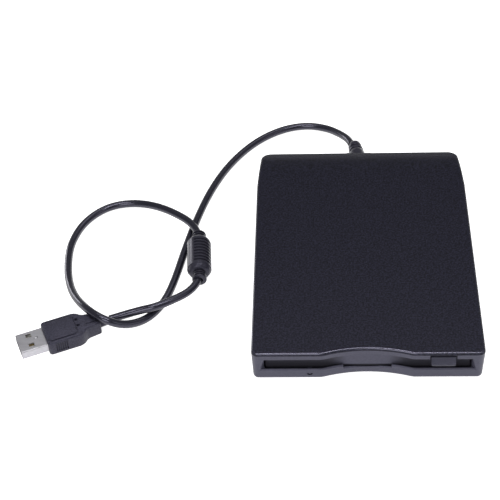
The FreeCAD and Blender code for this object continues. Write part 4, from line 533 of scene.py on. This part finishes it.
class DRIVE_OT_eject_button(bpy.types.Operator):
    """Builds the wedge-shaped eject button with its sloping thumb face"""

    bl_idname = "drive.eject_button"
    bl_label = "Eject button"

    def execute(self, context):
        low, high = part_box("eject_button")
        width = context.scene.drive_sizes.button_width
        middle = (low.x + high.x) / 2
        face_top = high.z - 0.45 * MM
        step = low.y + 2.9 * MM
        ledge = low.z + 1.1 * MM
        slope = 1.7 * MM
        keel_round, edge_round = 0.9 * MM, 0.2 * MM
        thumb_rim, thumb_sink = 0.6 * MM, 0.2 * MM
        near = 0.1 * MM

        bm = bmesh.new()
        profile = [(low.y, low.z), (high.y, low.z), (high.y, high.z), (step, high.z), (step, face_top),
                   (low.y + slope, face_top), (low.y, ledge)]
        pushed_out(bm, [(middle - width / 2, y, z) for y, z in profile], (width, 0, 0))
        bmesh.ops.recalc_face_normals(bm, faces=bm.faces)
        keel = [edge for edge in bm.edges if max(v.co.z for v in edge.verts) < low.z + near
                and abs(edge.verts[0].co.y - edge.verts[1].co.y) > 1 * MM]
        round_edges(bm, keel, keel_round, 4)
        thumb = [face for face in bm.faces
                 if face.normal.z > 0.3 and face.normal.y < -0.3 and abs(face.normal.x) < 0.1]
        bmesh.ops.inset_region(bm, faces=thumb, thickness=thumb_rim, depth=-thumb_sink)
        front = [edge for edge in bm.edges if max(v.co.y for v in edge.verts) < step - near]
        round_edges(bm, front, edge_round)
        piece = make_piece("eject_button_key", bm, finish("button_plastic"))
        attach(piece, "slider")
        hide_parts("eject_button")
        return {"FINISHED"}


CRESCENT_ARC = range(196, 345, 4)       # degrees of the painted shadow's arc, from the left, under the middle, to the right


class DRIVE_OT_activity_lamp(bpy.types.Operator):
    """Builds the activity lamp's plug, and a near-black crescent under it that is a painted shadow"""

    bl_idname = "drive.activity_lamp"
    bl_label = "Activity lamp"

    def execute(self, context):
        low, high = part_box("led_lens")
        radius, stem = 1.37 * MM, 1.2 * MM
        depth, stem_length = 2.6 * MM, 1.5 * MM
        set_back, below_top, wall_lean = 0.75 * MM, 1.25 * MM, 0.036
        guide_half, guide_start = 1.1 * MM, 2.45 * MM
        middle = Vector(((low.x + high.x) / 2, low.y + set_back, high.z - below_top))

        bm = turned([(0, 0), (stem, 0), (stem, stem_length), (radius, stem_length), (radius, depth),
                     (0, depth)], 48)
        matrix = along_axis(middle + Vector((0, depth, wall_lean * depth)), middle)
        bmesh.ops.transform(bm, matrix=matrix, verts=bm.verts)
        block(bm, (middle.x - guide_half, middle.y + guide_start, low.z),
              (middle.x + guide_half, high.y, middle.z))
        lens = make_piece("lamp_plug", bm, finish("grey_plastic"))
        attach(lens, "housing")
        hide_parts("led_lens")

        # Near-black crescent under the plug's lower rim: a painted shadow where the proud plug shades the
        # wall below it.
        inside = radius - 0.75 * MM
        front, thick, rise = 0.08 * MM, 0.3 * MM, 0.4 * MM
        bm = bmesh.new()
        arc = [math.radians(angle) for angle in CRESCENT_ARC]
        outline = [(math.cos(a) * radius, math.sin(a) * radius) for a in arc]
        outline += [(math.cos(a) * inside, math.sin(a) * inside) for a in reversed(arc)]
        pushed_out(bm, [(middle.x + x, middle.y - front, middle.z + rise + z) for x, z in outline],
                   (0, thick, 0))
        crescent = make_piece("lamp_crescent", bm, finish("lens"))
        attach(crescent, "housing")
        return {"FINISHED"}


SLEEVE_PROFILE = (          # radius and height beyond the boss's face, in millimetres
    (0, -2.0), (4.05, -2.0), (4.1, 1.6), (4.0, 4.2), (3.9, 5.8), (3.75, 6.1), (3.0, 6.2),
    (3.0, 6.8), (3.7, 6.9), (3.8, 7.3), (3.7, 8.7), (3.5, 8.9), (2.8, 9.0), (2.8, 9.6),
    (3.4, 9.7), (3.5, 10.1), (3.4, 11.7), (3.1, 12.8), (2.6, 13.5), (1.9, 13.9), (0, 14.0),
)
SLEEVE_AIM = Vector((-1.9, 86.2, 7.7)) * MM     # place that the sleeve's axis points at


class DRIVE_OT_strain_relief(bpy.types.Operator):
    """Turns the ribbed sleeve where the cord leaves the rear wall"""

    bl_idname = "drive.strain_relief"
    bl_label = "Strain relief"

    def execute(self, context):
        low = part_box("strain_relief")[0]
        flange, seat = 3.5 * MM, 2.45 * MM
        flange_thick = 1.6 * MM
        seat_end = CORD_EXIT.y - low.y + 1.0 * MM
        bm = turned([(0, 0), (flange, 0), (flange, flange_thick), (seat, flange_thick),
                     (seat, seat_end), (0, seat_end)], 48)
        start = Vector((CORD_EXIT.x, low.y, CORD_EXIT.z))
        bmesh.ops.transform(bm, matrix=along_axis(start, start + Vector((0, 1, 0))), verts=bm.verts)
        self.sleeve(bm)
        piece = make_piece("cord_strain_relief", bm, finish("cord_cover"), sharp=28.0)
        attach(piece, "housing")
        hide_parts("strain_relief")
        return {"FINISHED"}

    @staticmethod
    def sleeve(bm):
        """Adds the leaning taper with its two grooves, cut off flat just beyond the boss's face."""
        gap = 0.1 * MM
        taper = turned([(radius * MM, height * MM) for radius, height in SLEEVE_PROFILE], 48)
        bmesh.ops.transform(taper, matrix=along_axis(CORD_EXIT, SLEEVE_AIM), verts=taper.verts)
        bmesh.ops.bisect_plane(taper, geom=taper.verts[:] + taper.edges[:] + taper.faces[:],
                               clear_inner=True, plane_no=(0, 1, 0),
                               plane_co=CORD_EXIT + Vector((0, gap, 0)))
        bmesh.ops.holes_fill(taper, edges=[edge for edge in taper.edges if edge.is_boundary])
        add_bodies(bm, taper)


NECK_LENGTH = 4.3 * MM
NECK_PROFILE = (                # radius and height of the neck's ridges, in millimetres
    (3.0, 0.0), (3.4, 0.2), (3.5, 0.8), (2.4, 0.95), (2.4, 1.55), (3.3, 1.7),
    (3.3, 2.3), (2.35, 2.45), (2.35, 3.05), (3.2, 3.2), (3.2, 3.8), (2.3, 3.95),
)
SHOULDER_PROFILE = (            # inset from the body and height beyond the neck, in millimetres
    (4.6, 0.25), (2.9, 0.3), (1.6, 0.5), (0.85, 1.1), (0.45, 1.9), (0.35, 2.5), (0.0, 2.7),
)
GRIP_PITCH = 2.05 * MM
GRIP_GROOVE = 1.05 * MM
GRIP_DEPTH = 0.7 * MM
GRIP_EDGE = 0.12 * MM           # slope of a groove's walls
GRIP_MIDDLES = (40.0, 235.0)    # degrees round the ferrite
GRIP_HALF = 73                  # degrees to either side


class DRIVE_OT_ferrite(bpy.types.Operator):
    """Turns the ferrite's moulded cover and cuts the grooves of its two grip panels"""

    bl_idname = "drive.ferrite"
    bl_label = "Ferrite cover"

    def execute(self, context):
        sizes = context.scene.drive_sizes
        run_start, run_end = (Vector(CORD_POINTS[index]) for index in FERRITE_RUN)
        half = sizes.ferrite_length / 2 + NECK_LENGTH
        along = (run_end - run_start).normalized()
        middle = run_start + along * (FERRITE_OFFSET + sizes.ferrite_length / 2)
        bore = sizes.cord_diameter / 2 - 0.2 * MM
        body = sizes.ferrite_diameter / 2
        first = half - GRIP_PITCH * sizes.ferrite_grooves / 2 + (GRIP_PITCH - GRIP_GROOVE) / 2
        grooves = [first + GRIP_PITCH * index for index in range(sizes.ferrite_grooves)]

        end = [(bore, 0)]
        end += [(radius * MM, height * MM) for radius, height in NECK_PROFILE]
        end += [(body - inset * MM, NECK_LENGTH + height * MM) for inset, height in SHOULDER_PROFILE]
        rings = [(body, height + step) for height in grooves for step in (0, GRIP_GROOVE)]
        bm = turned(end + rings + [(radius, 2 * half - height) for radius, height in reversed(end)], 96)
        bmesh.ops.recalc_face_normals(bm, faces=bm.faces)
        for centre in GRIP_MIDDLES:
            for height in grooves:
                chosen = [face for face in bm.faces if self.in_groove(face, height, centre, body)]
                bmesh.ops.inset_region(bm, faces=chosen, thickness=GRIP_EDGE, depth=-GRIP_DEPTH,
                                       use_even_offset=True)
        matrix = along_axis(middle - along * half, middle + along * half)
        bmesh.ops.transform(bm, matrix=matrix, verts=bm.verts)
        piece = make_piece("ferrite_cover", bm, finish("cord_cover"), sharp=32.0)
        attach(piece, "housing")
        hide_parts("ferrite_sleeve")
        return {"FINISHED"}

    @staticmethod
    def in_groove(face, height, centre, body):
        """True for a face of the turned body that lies in one groove of one grip panel."""
        place = face.calc_center_median()
        if place.xy.length < body - 0.3 * MM or not height < place.z < height + GRIP_GROOVE:
            return False
        angle = math.degrees(math.atan2(place.y, place.x))
        return abs((angle - centre + 180) % 360 - 180) < GRIP_HALF


# Plug's moulding in its own frame: X runs from the cord's end to the shell, and Z is up.
TAIL_OUTLINE = ((5.0, 3.8), (11.2, 4.6), (12.4, 5.2), (13.8, 6.6), (14.9, 7.2))     # x, half width, in mm
TAIL_START = TAIL_OUTLINE[0][0] * MM
GRIP_START, GRIP_END = 16.4 * MM, 31.2 * MM
RAISED_START, RAISED_END = 16.6 * MM, 30.3 * MM     # panel raised out of the top face
RAISED_INSET = 1.7 * MM                             # from the grip's sides
RAISED_HEIGHT = 0.3 * MM
FINGER_GROOVES = 6
FINGER_START, FINGER_PITCH = 22.2 * MM, 1.0 * MM
FINGER_WIDTH, FINGER_DEPTH = 0.55 * MM, 0.7 * MM
FINGER_LOW, FINGER_HIGH = -2.4 * MM, 2.9 * MM
PIN_X, PIN_RADIUS = 15.15 * MM, 0.85 * MM
PIN_SIDES = (-2.5 * MM, 1.3 * MM)                   # across, to the middle of each hole
PIN_DEPTH = 1.2 * MM
TAIL_LINE_X, TAIL_LINE_Y = (6.0 * MM, 11.5 * MM), (1.9 * MM, 2.35 * MM)
SIDE_LINES_X, CROSS_LINE_X = (17.8 * MM, 29.2 * MM), (16.15 * MM, 16.57 * MM)
DIMPLE_PLACE = (35.1 * MM, -0.8 * MM, 2.2 * MM)
DIMPLE_PROFILE = ((0, 0), (0.9, 0), (0.88, 0.12), (0.75, 0.28), (0.45, 0.42), (0, 0.46))    # in mm


class DRIVE_OT_plug(bpy.types.Operator):
    """Builds the plug's moulding with its raised panel, its finger grips and its pin holes"""

    bl_idname = "drive.plug"
    bl_label = "Plug"

    def execute(self, context):
        sizes = context.scene.drive_sizes
        half = sizes.plug_width / 2
        top = sizes.plug_thickness / 2
        place = Matrix.Translation(CORD_POINTS[-1]) @ Matrix.Rotation(math.radians(PLUG_TURN), 4, "Z")
        bm = carved(self.body(half, top), self.cutters(half, top))
        add_bodies(bm, self.panel_and_grommet(half, top))
        bmesh.ops.transform(bm, matrix=place, verts=bm.verts)
        piece = make_piece("plug_moulding", bm, finish("plug_moulding"), sharp=40.0)
        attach(piece, "housing")
        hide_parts("plug_overmould")

        bm = turned([(radius * MM, height * MM) for radius, height in DIMPLE_PROFILE], 32)
        bmesh.ops.transform(bm, matrix=place @ Matrix.Translation(DIMPLE_PLACE), verts=bm.verts)
        piece = make_piece("shell_dimple", bm, finish("plug_metal"))
        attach(piece, "housing")
        return {"FINISHED"}

    @staticmethod
    def body(half, top):
        """Wide grip and tail in one outline, without the double corners that rounding can leave."""
        near = 0.1 * MM
        corner_round, heel_round, rim_round = 1.5 * MM, 0.9 * MM, 1.2 * MM
        side = [(x * MM, y * MM) for x, y in TAIL_OUTLINE] + [(GRIP_START, half), (GRIP_END, half)]
        outline = side + [(x, -y) for x, y in reversed(side)]
        bm = bmesh.new()
        pushed_out(bm, [(x, y, -top) for x, y in outline], (0, 0, 2 * top))
        corners = [edge for edge in bm.edges
                   if is_upright(edge, top) and edge.verts[0].co.x > GRIP_END - near]
        round_edges(bm, corners, corner_round, 4)
        heel = [edge for edge in bm.edges
                if is_upright(edge, top) and edge.verts[0].co.x < TAIL_START + near]
        round_edges(bm, heel, heel_round)
        round_edges(bm, rim_edges(bm, top) + rim_edges(bm, -top), rim_round, 4)
        bmesh.ops.remove_doubles(bm, verts=bm.verts, dist=0.001 * MM)
        return bm

    @staticmethod
    def panel_and_grommet(half, top):
        """Panel raised out of the top face, and the grommet that the cord comes out of."""
        sunk, corner_round, rim_round = 0.5 * MM, 1.3 * MM, 0.2 * MM
        bm = bmesh.new()
        block(bm, (RAISED_START, RAISED_INSET - half, top - sunk),
              (RAISED_END, half - RAISED_INSET, top + RAISED_HEIGHT))
        upright = [edge for edge in bm.edges if is_upright(edge, sunk / 2)]
        round_edges(bm, upright, corner_round, 4)
        round_edges(bm, rim_edges(bm, top + RAISED_HEIGHT), rim_round, 2)
        grommet = Matrix.Translation((3.3 * MM, 0, 0)) @ Matrix.Rotation(math.pi / 2, 4, "Y")
        bmesh.ops.create_cone(bm, cap_ends=True, segments=32, radius1=2.3 * MM, radius2=2.5 * MM,
                              depth=3.8 * MM, matrix=grommet)
        return bm

    @staticmethod
    def cutters(half, top):
        """Finger grooves, two pin holes, a line along the tail and three beside the raised panel."""
        clear = 1.0 * MM
        tail_depth, line_depth, line_width = 0.35 * MM, 0.4 * MM, 0.5 * MM
        line = half - RAISED_INSET + 0.02 * MM
        cross = line - 1.3 * MM
        bm = bmesh.new()
        for side in (-1, 1):
            inner, outer = sorted((side * (half - FINGER_DEPTH), side * (half + clear)))
            for index in range(FINGER_GROOVES):
                x = FINGER_START + FINGER_PITCH * index
                block(bm, (x, inner, FINGER_LOW), (x + FINGER_WIDTH, outer, FINGER_HIGH))
        for y in PIN_SIDES:
            bmesh.ops.create_cone(bm, cap_ends=True, segments=20, radius1=PIN_RADIUS, radius2=PIN_RADIUS,
                                  depth=2 * PIN_DEPTH, matrix=Matrix.Translation((PIN_X, y, top)))
        lines = [(TAIL_LINE_X, TAIL_LINE_Y, tail_depth), (CROSS_LINE_X, (-cross, cross), line_depth)]
        lines += [(SIDE_LINES_X, (y, y + line_width), line_depth) for y in (-line - line_width, line)]
        for (x0, x1), (y0, y1), depth in lines:
            block(bm, (x0, y0, top - depth), (x1, y1, top + clear))
        return bm


class DRIVE_OT_cord(bpy.types.Operator):
    """Lays the captive cord along its route, from the strain relief to the plug"""

    bl_idname = "drive.cord"
    bl_label = "Cord"

    def execute(self, context):
        sizes = context.scene.drive_sizes
        curve = bpy.data.curves.new("captive_cord", "CURVE")
        curve.dimensions = "3D"
        curve.resolution_u = 16
        curve.render_resolution_u = 16
        curve.bevel_depth = sizes.cord_diameter / 2
        curve.bevel_resolution = 7
        curve.use_fill_caps = True
        spline = curve.splines.new("NURBS")
        spline.points.add(len(CORD_POINTS) - 1)
        for point, place in zip(spline.points, CORD_POINTS):
            point.co = (*place, 1.0)
        spline.order_u = 3
        spline.use_endpoint_u = True
        curve.materials.append(finish("cord_jacket"))
        cord = bpy.data.objects.new("captive_cord", curve)
        context.scene.collection.objects.link(cord)
        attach(cord, "housing")
        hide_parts("usb_cord")
        carried = [bpy.data.objects[name] for name in ("ferrite_cover", "plug_moulding", "shell_dimple")]
        carried += [frame["nodes"][name]
                    for name in ("ferrite_core", "plug_shell", "plug_tongue", "plug_contacts")]
        return {"FINISHED"}


# ---------------------------------------------------------------- stage
CAMERA_PLACE = (-0.02197, -0.47962, 0.46866)
CAMERA_FORWARD = (-0.04826, 0.72454, -0.68754)
CAMERA_ROLL = -3.16         # degrees
CAMERA_FIELD = 20.48        # degrees across the square picture
FLOOR_SIZE = 3.0            # metres
FLOOR_DROP = 0.02 * MM      # below the feet
FLOOR_GLOW = 0.85           # light that the floor shows of its own
AIR_LIGHT = 0.28            # strength of the light from all round
CEILING_RISE = 0.2          # upward part of a direction in which white walls have become ceiling
CEILING_GLOSS = 0.3         # strength of the ceiling in the drive's gloss

# Name, place and aim in metres, width and height in metres, power in watts.
LAMPS = (
    ("key_softbox", (-0.25, -0.95, 0.62), (0, 0, 0), 0.7, 0.5, 5.5),
    ("fill_softbox", (0.95, -0.5, 0.6), (0, 0, 0), 0.6, 0.6, 1.2),
    ("left_softbox", (-1.0, 0.75, 0.16), (-0.08, 0, 0), 0.3, 0.3, 1.8),
    ("top_strip", (0.0, -0.10, 1.0), (0, -0.06, 0), 0.8, 0.12, 5.4),
    ("rear_softbox", (0.0, 0.55, 0.95), (0, 0, 0), 0.8, 0.3, 1.8),
)


def lamp(name, place, target, width, height, power):
    """Soft rectangular lamp that points from its place to the target."""
    data = bpy.data.lights.new(name, "AREA")
    data.shape = "RECTANGLE"
    data.size = width
    data.size_y = height
    data.energy = power
    made = bpy.data.objects.new(name, data)
    made.location = place
    made.rotation_mode = "QUATERNION"
    made.rotation_quaternion = (Vector(target) - Vector(place)).to_track_quat("-Z", "Y")
    bpy.context.scene.collection.objects.link(made)


def backdrop_strength(tree, lit, shown):
    """Strength of a background that lights the drive by lit, and is seen itself, or in gloss, as shown."""
    path = add_node(tree, "ShaderNodeLightPath")
    seen = add_node(tree, "ShaderNodeMath", operation="MAXIMUM")
    either = add_node(tree, "ShaderNodeMath", operation="MAXIMUM")
    tree.links.new(path.outputs["Is Camera Ray"], seen.inputs[0])
    tree.links.new(path.outputs["Is Glossy Ray"], seen.inputs[1])
    tree.links.new(seen.outputs[0], either.inputs[0])
    tree.links.new(path.outputs["Is Transmission Ray"], either.inputs[1])
    strength = add_node(tree, "ShaderNodeMapRange")
    strength.inputs["To Min"].default_value = lit
    if isinstance(shown, bpy.types.NodeSocket):
        tree.links.new(shown, strength.inputs["To Max"])
    else:
        strength.inputs["To Max"].default_value = shown
    tree.links.new(either.outputs[0], strength.inputs["Value"])
    return strength.outputs["Result"]


class DRIVE_OT_stage(bpy.types.Operator):
    """Sets the pale floor, the soft lamps and the camera"""

    bl_idname = "drive.stage"
    bl_label = "Floor, lamps and camera"

    def execute(self, context):
        scene = context.scene
        scene.view_settings.view_transform = "Standard"
        self.floor(scene.drive_colours.floor)
        self.surroundings(scene)
        for settings in LAMPS:
            lamp(*settings)
        self.camera(scene)
        return {"FINISHED"}

    def floor(self, colour):
        """Pale floor just under the feet, which glows white in view."""
        bm = bmesh.new()
        bmesh.ops.create_grid(bm, x_segments=1, y_segments=1, size=FLOOR_SIZE)
        bmesh.ops.translate(bm, verts=bm.verts, vec=(0, 0, -FLOOR_DROP))
        material = bpy.data.materials.new("pale_floor")
        material.use_nodes = True
        tree = material.node_tree
        shader = tree.nodes["Principled BSDF"]
        shader.inputs["Base Color"].default_value = (*colour, 1)
        shader.inputs["Roughness"].default_value = 0.9
        shader.inputs["Specular IOR Level"].default_value = 0.0
        glow = add_node(tree, "ShaderNodeEmission")
        tree.links.new(backdrop_strength(tree, 0.0, FLOOR_GLOW), glow.inputs["Strength"])
        both = add_node(tree, "ShaderNodeAddShader")
        tree.links.new(shader.outputs["BSDF"], both.inputs[0])
        tree.links.new(glow.outputs["Emission"], both.inputs[1])
        tree.links.new(both.outputs["Shader"], tree.nodes["Material Output"].inputs["Surface"])
        make_piece("pale_floor", bm, material)

    def surroundings(self, scene):
        """White all round in view; in gloss the walls are white and the ceiling is dim."""
        world = bpy.data.worlds.new("pale_room")
        world.use_nodes = True
        tree = world.node_tree
        tree.nodes["Background"].inputs["Color"].default_value = (1, 1, 1, 1)
        upward = add_node(tree, "ShaderNodeSeparateXYZ")
        tree.links.new(add_node(tree, "ShaderNodeTexCoord").outputs["Generated"], upward.inputs[0])
        shown = add_node(tree, "ShaderNodeMath", operation="MAXIMUM")
        ceiling = ranged(tree, upward.outputs["Z"], 0.0, CEILING_RISE, 1.0, CEILING_GLOSS)
        tree.links.new(ceiling, shown.inputs[0])
        tree.links.new(add_node(tree, "ShaderNodeLightPath").outputs["Is Camera Ray"], shown.inputs[1])
        strength = backdrop_strength(tree, AIR_LIGHT, shown.outputs[0])
        tree.links.new(strength, tree.nodes["Background"].inputs["Strength"])
        scene.world = world

    def camera(self, scene):
        """Camera in front and above, which looks down on the drive."""
        data = bpy.data.cameras.new("front_camera")
        data.sensor_fit = "HORIZONTAL"
        data.angle = math.radians(CAMERA_FIELD)
        camera = bpy.data.objects.new("front_camera", data)
        scene.collection.objects.link(camera)
        forward = Vector(CAMERA_FORWARD).normalized()
        right = forward.cross(Vector((0, 0, 1))).normalized()
        up = right.cross(forward)
        roll = math.radians(CAMERA_ROLL)
        across = right * math.cos(roll) + up * math.sin(roll)
        upright = up * math.cos(roll) - right * math.sin(roll)
        turn = Matrix((across, upright, -forward)).transposed().to_4x4()
        camera.matrix_world = Matrix.Translation(CAMERA_PLACE) @ turn
        scene.camera = camera


# ---------------------------------------------------------------- panel and start
STEPS = ("finish_nodes", "eject_button", "activity_lamp", "strain_relief", "ferrite", "plug", "cord",
         "stage")


class DRIVE_PT_builder(bpy.types.Panel):
    """Lists the drive's operators with its sizes and colours"""

    bl_label = "Floppy disk drive"
    bl_idname = "DRIVE_PT_builder"
    bl_space_type = "VIEW_3D"
    bl_region_type = "UI"
    bl_category = "Drive"

    def draw(self, context):
        layout = self.layout
        for settings in (context.scene.drive_sizes, context.scene.drive_colours):
            for name in settings.__annotations__:
                layout.prop(settings, name)
        for step in STEPS:
            layout.operator("drive." + step)


CLASSES = (
    DriveSizes, DriveColours, DRIVE_OT_finish_nodes, DRIVE_OT_eject_button, DRIVE_OT_activity_lamp,
    DRIVE_OT_strain_relief, DRIVE_OT_ferrite, DRIVE_OT_plug, DRIVE_OT_cord, DRIVE_OT_stage,
    DRIVE_PT_builder,
)


def register():
    for made in CLASSES:
        bpy.utils.register_class(made)
    bpy.types.Scene.drive_sizes = PointerProperty(type=DriveSizes)
    bpy.types.Scene.drive_colours = PointerProperty(type=DriveColours)


def unregister():
    del bpy.types.Scene.drive_colours
    del bpy.types.Scene.drive_sizes
    for made in reversed(CLASSES):
        bpy.utils.unregister_class(made)


def main():
    register()
    for step in STEPS:
        getattr(bpy.ops.drive, step)()


if __name__ == "__main__":
    main()
